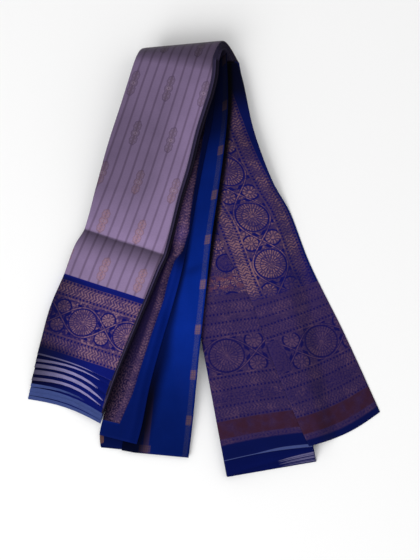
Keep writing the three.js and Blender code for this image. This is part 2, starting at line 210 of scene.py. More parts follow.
VALLEY = Edge(
    [(20, 293), (13, 210), (4, 165), (-5, 120), (-20, 39), (-34, -24), (-53, -92)]
    + [(-65, -132), (-81, -192), (-93, -252), (-100, -277), (-103.5, -289.5)]
)
BLUE_RIGHT = Edge(
    [(34, 307), (36, 228), (30, 163), (21, 97), (11, 28), (4, -39)]
    + [(-4, -114), (-11, -182), (-16, -234), (-23, -297)]
)
# The right edge of the bordered pleat's brocade, from the hem up
BROCADE_RIGHT = [(-126.9, -249.5), (-106, -201.2), (-94, -162), (-77.5, -111), (-60, -61.5), (-53, -31.5)]
BROCADE_RIGHT += [(-43.5, -4.5), (-31.5, 9), (-22.5, 39), (-19.5, 69), (-8, 140), (20, 300)]

# The front leg's own directions, and the line of the bend
LEG_DATUM = Vector((-91.5, 313.5, 0))
LEG_SLANT = (0.31, 0.951)
LEG_DOWN = Vector((-LEG_SLANT[0], -LEG_SLANT[1], 0))
LEG_RIGHT = Vector((LEG_SLANT[1], -LEG_SLANT[0], 0))
CREST = Vector((-105, 284, 0))
CREST_END = Vector((13, 295, 0))
AXIS = (CREST_END - CREST).normalized()
ACROSS = Vector((-AXIS.y, AXIS.x, 0))
CREST_WIDTH = (CREST_END - CREST).length
BACK_DOWN = (BACK_LEFT.at(BACK_LEFT.length) - BACK_LEFT.at(0)).normalized()
BACK_OUT_LEFT = Vector((BACK_DOWN.y, -BACK_DOWN.x, 0))
BACK_EDGE_DOWN = (BACK_RIGHT.at(BACK_RIGHT.length) - BACK_RIGHT.at(0)).normalized()
BACK_OUT_RIGHT = Vector((-BACK_EDGE_DOWN.y, BACK_EDGE_DOWN.x, 0))
BACK_FOOT_RIGHT = BACK_RIGHT.at(0) + AXIS * BACK_SHIFT * FRONT_LAYERS


class Value:
    """A number in a shader, which adds Math nodes where it is used in an expression."""

    def __init__(self, kit: "Kit", socket: Socket) -> None:
        self.kit = kit
        self.socket = socket

    def math(self, operation: str, *others: Number) -> "Value":
        """Returns the result of a Math node on this value and the others."""
        inputs = dict(enumerate((self, *others)))
        return Value(self.kit, self.kit.node("ShaderNodeMath", {"operation": operation}, inputs).outputs[0])

    def __add__(self, other: Number) -> "Value":
        """Adds."""
        return self.math("ADD", other)

    __radd__ = __add__

    def __sub__(self, other: Number) -> "Value":
        """Subtracts."""
        return self.math("SUBTRACT", other)

    def __rsub__(self, other: float) -> "Value":
        """Subtracts from a number."""
        return self.math("MULTIPLY_ADD", -1.0, other)

    def __mul__(self, other: Number) -> "Value":
        """Multiplies."""
        return self.math("MULTIPLY", other)

    __rmul__ = __mul__

    def __truediv__(self, other: Number) -> "Value":
        """Divides."""
        return self.math("DIVIDE", other)

    def __abs__(self) -> "Value":
        """Returns the size without its sign."""
        return self.math("ABSOLUTE")

    def least(self, other: Number) -> "Value":
        """Returns the smaller of two."""
        return self.math("MINIMUM", other)

    def most(self, other: Number) -> "Value":
        """Returns the larger of two."""
        return self.math("MAXIMUM", other)

    def above(self, low: float, high: float) -> "Value":
        """Returns a mask that eases from 0 at `low` to 1 at `high`."""
        settings = {"interpolation_type": "SMOOTHSTEP"}
        inputs = {"Value": self, "From Min": low, "From Max": high}
        return Value(self.kit, self.kit.node("ShaderNodeMapRange", settings, inputs).outputs["Result"])

    def below(self, low: float, high: float) -> "Value":
        """Returns a mask that eases from 1 at `low` to 0 at `high`."""
        return 1 - self.above(low, high)

    def within(self, low: float, high: float, soft: float = 0.35) -> "Value":
        """Returns a mask that is 1 between two values, where `soft` is half the width of each soft edge."""
        return self.above(low - soft, low + soft) * self.below(high - soft, high + soft)

    def wave(self, period: float, shift: Number = 0.0) -> "Value":
        """Returns a sine from 0 to 1 of a period, moved along by `shift`."""
        return ((self + shift) * (2 * math.pi / period)).math("SINE") * 0.5 + 0.5

    def cell(self, period: float) -> "Value":
        """Returns the distance from the middle of the nearest of repeated cells."""
        return ((self / period).math("FRACT") - 0.5) * period

    def toward(self, other: Number, mask: "Value") -> "Value":
        """Returns this value where the mask is 0 and the other where it is 1."""
        return self * (1 - mask) + mask * other

    def inlaid(self, motif: "Value", ring: "Value", rim: Pair, end: Pair) -> "Value":
        """Returns this value with a round motif in it, and a dark rim from the motif's end to its own."""
        return self.toward(0.0, ring.below(*rim)).toward(motif, ring.below(*end))


class Kit:
    """Builds the nodes of one material."""

    def __init__(self, name: str) -> None:
        """Starts an empty material."""
        self.material = bpy.data.materials.new(name)
        self.material.use_nodes = True
        self.tree = self.material.node_tree
        self.tree.nodes.clear()

    def node(self, kind: str, settings: dict | None = None, inputs: dict | None = None) -> bpy.types.Node:
        """Adds a node.

        Args:
            kind: The node's type.
            settings: Its own settings, set first.
            inputs: Its sockets' values or links, by name or number.

        Returns:
            The node.
        """
        made = self.tree.nodes.new(kind)
        for key, value in (settings or {}).items():
            setattr(made, key, value)
        for key, value in (inputs or {}).items():
            if isinstance(value, Value):
                value = value.socket
            if isinstance(value, Socket):
                self.tree.links.new(value, made.inputs[key])
            else:
                made.inputs[key].default_value = value
        return made

    def cloth(self) -> tuple[Value, Value]:
        """Returns the distances across and along the cloth, in millimetres, from its UV map."""
        source = self.node("ShaderNodeUVMap", {"uv_map": "cloth"})
        split = self.node("ShaderNodeSeparateXYZ", None, {0: source.outputs["UV"]})
        return Value(self, split.outputs["X"]) * 1000, Value(self, split.outputs["Y"]) * 1000

    def attribute(self, name: str) -> Value:
        """Returns a number kept on the mesh's points."""
        return Value(self, self.node("ShaderNodeAttribute", {"attribute_name": name}).outputs["Fac"])

    def join(self, x: Value, y: Value) -> Socket:
        """Returns two numbers as one vector."""
        return self.node("ShaderNodeCombineXYZ", None, {"X": x, "Y": y}).outputs[0]

    def cloud(self, x: Value, y: Value, size: float, detail: float = 2.0) -> Value:
        """Returns noise from 0 to 1 whose patches are about `size` across."""
        inputs = {"Vector": self.join(x / size, y / size), "Scale": 1.0, "Detail": detail}
        return Value(self, self.node("ShaderNodeTexNoise", None, inputs).outputs[0])

    def wear(self, x: Value, y: Value) -> Value:
        """Returns a factor near 1 for metal thread, which breaks up in specks and wears in broad patches."""
        specks = self.cloud(x, y, 3.2, 1.0).above(0.32, 0.6) * 0.55 + 0.67
        return specks * (self.cloud(x + 17, y, 26.0).above(0.36, 0.6) * 0.36 + 0.82)

    def mix(self, mask: Number, first: object, second: object) -> Socket:
        """Returns a mix of two colours or colour sockets, the first where the mask is 0."""
        colours = [(*c, 1.0) if isinstance(c, tuple) else c for c in (first, second)]
        inputs = {0: mask, 6: colours[0], 7: colours[1]}
        return self.node("ShaderNodeMix", {"data_type": "RGBA"}, inputs).outputs[2]

    def shade(self, colour: Socket, factor: Value) -> Socket:
        """Darkens or lightens a colour by a factor."""
        inputs = {0: colour, "Scale": factor}
        return self.node("ShaderNodeVectorMath", {"operation": "SCALE"}, inputs).outputs[0]

    def finish(
        self, colour: Socket, relief: Value, roughness: Number, sheen: float
    ) -> Material:
        """Closes the material as woven silk.

        Args:
            colour: Its colour.
            relief: Its height, 1 for one thread.
            roughness: Its roughness.
            sheen: The weight of its sheen.

        Returns:
            The material.
        """
        bump = self.node("ShaderNodeBump", None, {"Height": relief, "Strength": 0.6, "Distance": 0.00025})
        inputs = {"Base Color": colour, "Roughness": roughness, "Normal": bump.outputs[0]}
        inputs.update({"Sheen Weight": sheen, "Sheen Roughness": 0.5, "Specular IOR Level": 0.02})
        shader = self.node("ShaderNodeBsdfPrincipled", None, inputs)
        self.node("ShaderNodeOutputMaterial", None, {"Surface": shader.outputs[0]})
        return self.material


@dataclass(frozen=True)
class Silk:
    """The ground cloth: a plain weave of fine threads with the unevenness of the yarn."""

    thread: float = 0.7

    def relief(self, kit: Kit, x: Value, y: Value) -> Value:
        """Returns the height of the threads at a place on the cloth."""
        over = x.wave(self.thread) * y.wave(self.thread, self.thread / 4)
        return over * 0.5 + kit.cloud(x, y * 0.25, 1.6) * 0.6

    def slub(self, kit: Kit, x: Value, y: Value) -> Value:
        """Returns a factor near 1 that varies as the yarn and its shine do."""
        fine = kit.cloud(x * 0.3, y, 1.3, 3.0)
        broad = kit.cloud(x, y, 34.0)
        return fine * 0.22 + broad * 0.28 + 0.75


@dataclass(frozen=True)
class Border:
    """The woven border: a scroll of crossing vines with round flowers, between rows of chevrons and dots."""

    dots: float = 4.5
    chevrons: float = 14.5
    line: float = 2.0
    scroll: float = 54.0
    period: float = 70.0
    dot_pitch: float = 5.2
    chevron_pitch: float = 4.6
    chevron_turns: float = 1.5
    chevron_low: float = 0.28
    chevron_depth: float = 0.62
    leaf_low: float = 0.22
    leaf_depth: float = 0.55

    @property
    def edge(self) -> float:
        """The depth of the rows on one side of the scroll."""
        return self.dots * 2 + self.chevrons + self.line

    @property
    def depth(self) -> float:
        """The whole depth of the border."""
        return self.edge * 2 + self.scroll

    def dot_row(self, x: Value, d: Value, middle: float) -> Value:
        """Returns the gaps of a row of small upright dots, 1 in a gap."""
        gap = abs(x.cell(self.dot_pitch)).below(0.8, 1.6)
        return gap * d.within(middle - 1.5, middle + 1.5)

    def chevron_row(self, x: Value, d: Value, low: float, high: float) -> Value:
        """Returns the metal thread of a band of nested chevrons along x, between two places across, d."""
        swing = (d - low).math("PINGPONG", (high - low) / (2 * self.chevron_turns)) * 0.75
        return x.wave(self.chevron_pitch, swing) * self.chevron_depth + self.chevron_low

    def medallion(self, along: Value, away: Value, size: float) -> tuple[Value, Value]:
        """Returns a large round flower.

        Args:
            along: The distance from its middle, one way.
            away: The distance from its middle, the other way.
            size: 1 for the border's own.

        Returns:
            Its metal thread, and the distance from its middle as a share of its radius.
        """
        ring = (along * along + away * away).math("SQRT") / (20.0 * size)
        petals = (away.math("ARCTAN2", along) * 34).math("SINE") * 0.5 + 0.5
        disc = petals.toward(0.5, ring.below(0.62, 0.74)) * 0.5 + 0.3
        disc = disc.toward(0.25, ring.within(0.64, 0.69, 0.02).most(ring.within(0.3, 0.34, 0.02)))
        beads = (away.math("ARCTAN2", along) * 18).math("SINE") * 0.24 + 0.52
        disc = disc.toward(beads, ring.below(0.6, 0.66))
        return disc.toward(0.8, ring.below(0.07, 0.16)), ring

    def rosette(self, along: Value, away: Value, size: float) -> tuple[Value, Value]:
        """Returns a small round flower, as `medallion` does."""
        ring = (along * along + away * away).math("SQRT") / (9.6 * size)
        petals = (away.math("ARCTAN2", along) * 11).math("SINE") * 0.28 + 0.66
        return petals.toward(0.45, ring.within(0.3, 0.42, 0.06)).toward(0.95, ring.below(0.16, 0.26)), ring

    def vines(self, kit: Kit, x: Value, y: Value, period: float) -> Value:
        """Returns the metal thread of the scroll.

        Args:
            kit: The material's nodes.
            x: The distance along the scroll. The vines cross at each whole period.
            y: The distance from its middle line.
            period: The distance between crossings.

        Returns:
            How much of the metal thread shows, from 0 to 1.
        """
        size = period / Border.period
        height = abs(y)
        swell = 23.0 * size
        swing = (x * (math.pi / period)).math("SINE")
        wave = abs(swing) * swell
        away = abs(height - wave) * (abs(swing) * 0.35 + 0.65)
        around = x.cell(period)
        across = (x + period / 2).cell(period)
        disc, ring = self.medallion(around, y, size)
        bud, bud_ring = self.rosette(across, height - 15.0 * size, size)

        spots = {"Vector": kit.join(x / 4.2, y / 4.2), "Scale": 1.0, "Randomness": 0.8}
        spots = kit.node("ShaderNodeTexVoronoi", {"feature": "F1"}, spots)
        leaves = Value(kit, spots.outputs["Distance"]).below(0.3, 0.62) * self.leaf_depth + self.leaf_low
        beside = abs(abs(around) - 13.0 * size).below(2.2, 3.4) * height.within(21.0 * size, 25.0 * size, 0.8)
        inside = abs(abs(across) - 10.0 * size).below(2.6, 4.0) * (height - wave).within(-7.5, -2.2, 0.8)
        shown = leaves.toward(0.0, beside.most(inside))
        shown = shown.inlaid(disc, ring, (1.03, 1.14), (0.97, 1.03))
        shown = shown.inlaid(bud, bud_ring, (1.15, 1.32), (0.96, 1.04))
        shown = shown.toward(0.05, away.below(1.5, 2.4))
        return shown.toward(0.72, away.below(0.6, 1.2))

    def threads(self, kit: Kit, x: Value, d: Value, period: float | None = None) -> Value:
        """Returns the metal thread of the whole border.

        Args:
            kit: The material's nodes.
            x: The distance along the border.
            d: The distance across it, from its start.
            period: The distance between the scroll's crossings, if not the border's own.

        Returns:
            How much of the metal thread shows, from 0 to 1.
        """
        side = self.depth / 2 - abs(d - self.depth / 2)
        chevrons = self.chevron_row(x, side, self.dots, self.dots + self.chevrons)
        shown = chevrons.toward(0.5, side.below(self.dots - 0.3, self.dots + 0.3))
        inner = self.dots + self.chevrons
        shown = shown.toward(0.5, side.above(inner - 0.3, inner + 0.3))
        outer_dots, inner_dots = self.dots / 2, self.edge - self.line - self.dots / 2
        gaps = self.dot_row(x, side, outer_dots) + self.dot_row(x, side, inner_dots)
        shown = shown.toward(0.0, gaps)
        shown = shown.toward(0.68, side.within(self.edge - self.line, self.edge, 0.4))
        scroll = self.vines(kit, x, d - self.depth / 2, period or self.period)
        return shown.toward(scroll, side.above(self.edge - 0.3, self.edge + 0.3))


@dataclass(frozen=True)
class Zari:
    """The colours of metal thread over its ground."""

    ground: Colour = (0.003, 0.003, 0.105)
    middle: Colour = (0.078, 0.040, 0.112)
    bright: Colour = (0.220, 0.118, 0.170)

    def colour(self, kit: Kit, threads: Value) -> Socket:
        """Returns the colour where this much of the metal thread shows."""
        base = kit.mix(threads.above(0.0, 0.55), self.ground, self.middle)
        return kit.mix(threads.above(0.5, 1.0), base, self.bright)


@dataclass(frozen=True)
class StripedSilk:
    """The saree's body and border, as the front leg shows them.

    On the mesh, `glow` is the painted light and shade of the silk, `zari` the painted highlight and shade of
    the metal thread, `up` the distance up from the hem and `pale` how deep the sliver of the cloth's back is
    that shows there.
    """

    lavender: Colour = (0.212, 0.150, 0.272)
    stripe: Colour = (0.100, 0.064, 0.122)
    blue: Colour = (0.0015, 0.0055, 0.130)
    # dull and copper: the motifs' colour up the leg, and under the painted highlight near the border
    dull: Colour = (0.128, 0.086, 0.124)
    copper: Colour = (0.300, 0.158, 0.172)
    centre: Colour = (0.300, 0.215, 0.310)
    sliver: Colour = (0.210, 0.190, 0.400)
    stripe_pitch: float = 14.0
    motif_pitch: float = 56.0
    motif_rows: float = 72.0
    motif_start: float = 24.6
    border_start: float = 8.0
    border_phase: float = 33.7
    silk: Silk = Silk()
    border: Border = Border(period=67.4)
    zari: Zari = Zari()

    def motifs(self, x: Value, y: Value) -> tuple[Value, Value, Value]:
        """Returns the long motifs on every fourth stripe, their dark outlines and the pale ring in each.

        Args:
            x: The distance across the stripes.
            y: The distance along them.

        Returns:
            Three masks from 0 to 1.
        """
        step = (y / self.motif_rows + 0.5).math("FLOOR")
        odd = (step / 2).math("FRACT") * self.motif_pitch
        away = (x + odd + self.motif_pitch / 2).cell(self.motif_pitch)
        along = (y + self.motif_rows / 2).cell(self.motif_rows)
        rise = abs(along) - 10.8
        scallop = (rise.math("ARCTAN2", away) * 7).math("COSINE") * 0.06
        lobe = ((away * away) / 29.0 + (rise * rise) / 56.0).math("SQRT") + scallop
        middle = (away * away + along * along).math("SQRT") / 5.9
        form = lobe.least(middle)
        lace = (away * 1.15).math("COSINE") * (along * 1.15).math("COSINE") * 0.45 + 0.55
        return form.below(0.82, 0.98) * lace, form.within(0.9, 1.16, 0.07), middle.within(0.2, 0.45, 0.08)

    def material(self) -> Material:
        """Makes the material.

        Returns:
            The material.
        """
        kit = Kit("striped_silk")
        x, y = kit.cloth()
        glow = kit.attribute("glow")
        line = abs((x + self.stripe_pitch / 2).cell(self.stripe_pitch))
        motif, outline, ring = self.motifs(x, y + self.motif_start)
        body = kit.mix(line.below(0.5, 2.5) * 0.66, self.lavender, self.stripe)
        # Painted highlight: the motifs and their outlines turn from dull to copper towards the border, where
        # the light falls.
        near = y.above(-230, -90)
        painted_highlight = kit.mix(near, self.dull, self.copper)
        body = kit.mix(outline * 0.7, body, kit.mix(near * 0.42, self.stripe, self.copper))
        body = kit.mix(motif * 0.74, body, painted_highlight)
        body = kit.mix(ring * 0.5, body, self.centre)
        threads = self.border.threads(kit, x + self.border_phase, y - self.border_start)
        # The mesh's `zari` mark scales the metal thread: a painted highlight and shade.
        zari = self.zari.colour(kit, threads * kit.wear(x, y) * kit.attribute("zari"))
        woven = y.within(self.border_start, self.border_start + self.border.depth, 0.4)
        colour = kit.mix(y.above(-0.4, 0.4), body, kit.mix(woven, self.blue, zari))
        pale = kit.attribute("pale")
        colour = kit.mix((pale - kit.attribute("up")).above(-0.3, 0.4), colour, self.sliver)
        # Painted light and shade from the mesh darken or lighten the colour.
        colour = kit.shade(colour, self.silk.slub(kit, x, y) * glow)
        relief = self.silk.relief(kit, x, y) + (threads * woven) * 0.8 + motif * y.below(-0.5, 0.5) * 0.5
        return kit.finish(colour, relief, 0.42, 0.12)


@dataclass(frozen=True)
class PalluBrocade:
    """The pallu: the border runs along it above, and bands of zari cross it below.

    On the mesh, `glow` is its painted light and shade, `zari` the painted highlight of its metal thread, and
    `pale` how deep the sliver at its hem is.
    """

    name: str
    selvedge: float
    turn: float
    along_phase: float
    across_phase: float
    across_period: float
    inside: bool = False
    faint: float = 0.22
    # Places up from the selvedge: the copper band, the speckled one, the chevrons, the dots and the scroll
    solid: Pair = (9, 35)
    speckled: Pair = (61, 76)
    chevrons: Table = ((41, 53), (198, 209))
    dots: Sequence[float] = (37.5, 56.5, 194, 212)
    selvedge_dots: float = 4.5
    scroll: float = 78.5
    flower_pitch: float = 58.0
    bud_pitch: float = 16.0
    # Where the scroll across is bare, far across the panel: the rise of the mask, and its band
    bare_from: Pair = (86, 94)
    bare_band: Pair = (106, 156)
    silk: Silk = Silk()
    border: Border = Border(chevron_low=0.36, chevron_depth=0.42, leaf_low=0.4, leaf_depth=0.25)
    upper: Zari = Zari((0.004, 0.004, 0.090), (0.052, 0.028, 0.082), (0.190, 0.096, 0.120))
    lower: Zari = Zari((0.004, 0.003, 0.075), (0.037, 0.020, 0.080), (0.078, 0.040, 0.094))
    copper: Colour = (0.040, 0.012, 0.031)
    flowers: Colour = (0.160, 0.056, 0.066)
    blue: Colour = (0.001, 0.0045, 0.068)
    strip: Colour = (0.0015, 0.0055, 0.085)
    sliver: Colour = (0.055, 0.075, 0.225)

    def across_bands(self, kit: Kit, x: Value, q: Value) -> tuple[Value, Value]:
        """Returns the metal thread of the bands across, and where the solid copper band lies.

        Args:
            kit: The material's nodes.
            x: The distance across the pallu.
            q: The distance up from the blue selvedge.

        Returns:
            How much of the metal thread shows, and a mask.
        """
        border = self.border
        fill = kit.cloud(x, q, 1.8) * 0.3 + 0.36
        speckle = kit.cloud(x, q, 2.6, 0.0).above(0.42, 0.6) * 0.3 + 0.28
        shown = fill.toward(speckle, q.within(*self.speckled))
        for low, high in self.chevrons:
            shown = shown.toward(border.chevron_row(x, q, low, high), q.within(low, high))
        gaps = border.dot_row(x, q, self.selvedge_dots) * 0.5
        for middle in self.dots:
            gaps = gaps + border.dot_row(x, q, middle)
        shown = shown.toward(0.0, gaps * 0.85)
        woven = border.threads(kit, x + self.across_phase, q - self.scroll, self.across_period)
        shown = shown.toward(woven, q.within(self.scroll, self.scroll + border.depth))
        shown = shown * (kit.cloud(x + 31, q, 26.0).above(0.48, 0.66) * 0.5 + 0.92)
        shown = shown.toward(0.36, x.above(*self.bare_from) * q.within(*self.bare_band))
        return shown.toward(0.36, self.faint), q.within(*self.solid, 0.8)

    def interior(self, kit: Kit, x: Value, q: Value) -> Value:
        """Returns the metal thread of the pallu's middle: rows of small flowers between large ones.

        Args:
            kit: The material's nodes.
            x: The distance across the pallu.
            q: The distance up from the turn.

        Returns:
            How much of the metal thread shows, from 0 to 1.
        """
        border = self.border
        spots = kit.cloud(x, q, 2.4, 0.0).above(0.4, 0.62) * 0.3 + 0.32
        wide, narrow = self.flower_pitch, self.bud_pitch
        across, along = (x - 53.6 + wide / 2).cell(wide), (q - 47.4 + wide / 2).cell(wide)
        disc, ring = border.medallion(across, along, 0.62)
        across, along = (x - 31.3 + narrow / 2).cell(narrow), (q - 17.5 + wide / 2).cell(wide)
        bud, bud_ring = border.rosette(across, along, 0.8)
        shown = spots.inlaid(disc * 0.5, ring, (1.1, 1.25), (0.95, 1.03))
        return shown.inlaid(bud - 0.1, bud_ring, (1.05, 1.2), (0.95, 1.03))

    def material(self) -> Material:
        """Makes the material.

        Returns:
            The material.
        """
        kit = Kit(self.name)
        x, y = kit.cloth()
        q = y - self.selvedge
        low, copper = self.across_bands(kit, x, q)
        if self.inside:
            along = self.interior(kit, x, y - self.turn)
        else:
            along = self.border.threads(kit, y + self.along_phase, x, 78.0)
        specks = kit.cloud(x, y, 2.7, 1.0).above(0.3, 0.62) * 0.62 + 0.66
        across_colour = self.lower.colour(kit, low * specks)
        worn = kit.cloud(x, q, 16.0, 4.0).above(0.3, 0.62) * 0.5 + 0.5
        across_colour = kit.mix(copper * worn, across_colour, self.copper)
        # The mesh's `zari` mark is a painted highlight on the metal thread.
        along_colour = self.upper.colour(kit, along * kit.wear(x, y) * kit.attribute("zari"))
        if self.inside:
            row = (y - self.turn).within(8, 29, 4.0) * kit.cloud(x, y, 7.0).above(0.42, 0.62) * 0.5
            along_colour = kit.mix(row, along_colour, self.flowers)
        else:
            along_colour = kit.mix(x.above(-0.4, 0.4), self.strip, along_colour)
        colour = kit.mix(y.above(self.turn - 0.5, self.turn + 0.5), across_colour, along_colour)
        colour = kit.mix(q.above(-1.5, 2.0), self.blue, colour)
        colour = kit.mix((kit.attribute("pale") - y).above(-0.3, 0.4), colour, self.sliver)
        # Painted light and shade from the mesh darken or lighten the colour.
        colour = kit.shade(colour, self.silk.slub(kit, x, y) * kit.attribute("glow"))
        relief = self.silk.relief(kit, x, y) + low * 0.6
        return kit.finish(colour, relief, 0.5, 0.05)


@dataclass(frozen=True)
class BlueSilk:
    """Plain royal blue silk with a narrow woven strip and copper squares along its edge."""

    blue: Colour = (0.001, 0.0165, 0.200)
    strip: Colour = (0.050, 0.056, 0.175)
    copper: Colour = (0.175, 0.096, 0.115)
    mauve: Colour = (0.085, 0.046, 0.085)
    # Places in from the right edge: the strip, the mauve band, the foot of the next strip and the squares
    edge: Pair = (2.6, 9.4)
    inner: Pair = (61.0, 69.5)
    foot: Pair = (58.0, 75.0)
    square: Pair = (1.6, 10.0)
    square_half: float = 6.6
    pitch: float = 68.1
    first: float = 55.2
    silk: Silk = Silk()

    def material(self) -> Material:
        """Makes the material. Across counts from the right edge, and along from the hem.

        Returns:
            The material.
        """
        kit = Kit("blue_silk")
        x, y = kit.cloth()
        edge = x.within(*self.edge, 0.5)
        inner = x.within(*self.inner, 1.0) * y.below(40.0, 125.0) * 0.6
        foot = x.within(*self.foot, 0.6) * y.within(1.5, 13.0, 1.0)
        speckle = kit.cloud(x, y, 1.5, 1.0).above(0.42, 0.6)
        away = abs((y - self.first + self.pitch / 2).cell(self.pitch))
        squares = x.within(*self.square, 0.5) * away.below(self.square_half, self.square_half + 1)
        squares = squares.most(foot * 0.8)
        lace = x.wave(3.2) * y.wave(3.6) * 0.6 + kit.cloud(x, y, 9.0) * 0.5 + 0.2
        colour = kit.mix(edge * (speckle * 0.6 + 0.12), self.blue, self.strip)
        colour = kit.mix(inner, colour, self.mauve)
        colour = kit.mix(squares * lace, colour, self.copper)
        # Painted light and shade from the mesh darken or lighten the colour.
        colour = kit.shade(colour, self.silk.slub(kit, x, y) * kit.attribute("glow"))
        relief = self.silk.relief(kit, x, y) + speckle * edge * 0.6
        return kit.finish(colour, relief, 0.5, 0.0)


@dataclass(frozen=True)
class BorderedSilk:
    """The slipped pleat: woven border on its left, plain blue towards the valley and along its hem."""

    blue: Colour = (0.001, 0.013, 0.175)
    plum: Colour = (0.0105, 0.0062, 0.040)
    hem: float = 24.0
    silk: Silk = Silk()
    border: Border = Border(dots=1.2, chevron_low=0.34, chevron_depth=0.5, leaf_low=0.3, leaf_depth=0.3)
    zari: Zari = Zari((0.004, 0.003, 0.050), (0.050, 0.028, 0.080), (0.150, 0.080, 0.132))

    def material(self) -> Material:
        """Makes the material. Across counts leftwards from the border's edge, and along from the hem.

        Returns:
            The material.
        """
        kit = Kit("bordered_silk")
        x, y = kit.cloth()
        threads = self.border.threads(kit, y, x).toward(kit.cloud(x, y * 0.7, 1.9), 0.5)
        woven = x.above(-0.4, 0.4) * y.above(self.hem - 0.5, self.hem + 0.5)
        reach = y.above(285, 330) * 11
        specks = kit.cloud(x, y * 0.7, 2.1, 1.0).above(0.42, 0.62)
        shown = specks * (y.below(90, 190) * 0.44 + 0.16)
        plain = kit.mix(shown, self.plum, kit.mix(y.below(60, 160), self.zari.middle, self.zari.bright))
        brocade = kit.mix((x - reach).above(7, 13), self.zari.colour(kit, threads * kit.wear(x, y)), plain)
        # The mesh's `zari` mark is painted highlight and shade on the brocade.
        brocade = kit.shade(brocade, kit.attribute("zari"))
        colour = kit.mix(woven, self.blue, brocade)
        # Painted light and shade from the mesh darken or lighten the colour.
        colour = kit.shade(colour, self.silk.slub(kit, x, y) * kit.attribute("glow"))
        relief = self.silk.relief(kit, x, y) + threads * woven * 0.8
        return kit.finish(colour, relief, 0.5, 0.01)


@dataclass(frozen=True)
class PleatEdges:
    """The folded layers of a pile: their side folds, and the slivers of the cloth's back at the hems.

    On the mesh, `pale` is how deep a layer's sliver is, `tint` turns it from lavender to pale blue, `level`
    counts the layers, `past` is the distance past the start of the border, and `glow` and `light` are the
    painted light and shade of the cloth and of its slivers.
    """

    name: str
    body: Colour
    border: Colour
    sliver: Colour = (0.225, 0.200, 0.380)
    pale: Colour = (0.040, 0.060, 0.190)
    silk: Silk = Silk()

    def material(self) -> Material:
        """Makes the material. Across is a place in the width, and along is up from the layer's own hem.

        Returns:
            The material.
        """
        kit = Kit(self.name)
        x, y = kit.cloth()
        depth = kit.attribute("pale")
        level = kit.attribute("level")
        streak = kit.cloud(level * 2.6, y / 60, 1.0, 0.0) * 0.7 + 0.65
        mask = (depth - y).above(-0.25, 0.35) * depth.above(0.1, 0.3)
        base = kit.mix(kit.attribute("past").above(-0.5, 0.5), self.body, self.border)
        # Painted light and shade scale the layers' cloth, with a random streak for each layer.
        base = kit.shade(base, streak * kit.attribute("glow"))
        worn = kit.cloud(x / 5, y + level * 7, 2.2) * 0.6 + 0.7
        sliver = kit.shade(kit.mix(kit.attribute("tint"), self.sliver, self.pale), worn)
        # The `light` mark is painted shade on the slivers.
        colour = kit.mix(mask, base, kit.shade(sliver, kit.attribute("light")))
        colour = kit.shade(colour, self.silk.slub(kit, x, y))
        return kit.finish(colour, self.silk.relief(kit, x, y), 0.55, 0.02)


@dataclass
class Station:
    """A place across a stretch of cloth: a share of the width, how far past the edge, and the layer."""

    u: float
    outset: float = 0.0
    level: float = 0.0


@dataclass
class Spot:
    """Where a point of cloth lies, and what its material needs to know."""

    place: Vector
    across: float
    along: float
    marks: dict[str, float] = field(default_factory=dict)


# Gives the spot of a station at a share of the cloth's length
Lay = Callable[[Station, float], Spot]


def rounding(u: float) -> float:
    """Returns how far a pleat's face drops close to its long edges, at a share of its width."""
    return 0.35 * (smooth(0.03, 0, u) + smooth(0.97, 1, u))


def pile_marks(station: Station, **known: float) -> dict[str, float]:
    """Returns the marks of a pile's spot: those that are known, and a plain layer's for the rest."""
    return {"level": station.level, "pale": 0.0, "tint": 0.0, "past": 100.0, "light": 1.0, **known}


def fold_outset(station: Station) -> float:
    """Returns how far a place of a fold stands out to the right, which is less than 0 at the left side."""
    return station.outset if station.u > 0.5 else -station.outset


def zigzag(layers: int, cells: int, bulge: float, uneven: random.Random) -> list[Station]:
    """Lists the places across a strip that is folded to and fro.

    Args:
        layers: How many layers it makes.
        cells: How many cells each layer has.
        bulge: How far a fold stands past the layers.
        uneven: The source of the folds' unevenness.

    Returns:
        The places in order, from the top layer's left edge.
    """
    stations: list[Station] = []
    start = 0.0
    for layer in range(layers):
        end = blend(-0.9, 0.5, uneven.random())
        shares = sorted([step / cells for step in range(cells + 1)] + [0.025, 0.975])
        for share in shares:
            outset = start if share == 0 else end if share == 1 else 0.0
            stations.append(Station(share if layer % 2 == 0 else 1 - share, outset, layer))
        if layer < layers - 1:
            side = 1.0 if layer % 2 == 0 else 0.0
            for angle in (45, 90, 135):
                turn = math.radians(angle)
                out = end + bulge * math.sin(turn)
                stations.append(Station(side, out, layer + 0.5 - 0.5 * math.cos(turn)))
        start = end
    return stations


def add(name: str, data: bpy.types.ID) -> bpy.types.Object:
    """Returns a new object of the scene that has these data."""
    made = bpy.data.objects.new(name, data)
    bpy.context.scene.collection.objects.link(made)
    return made


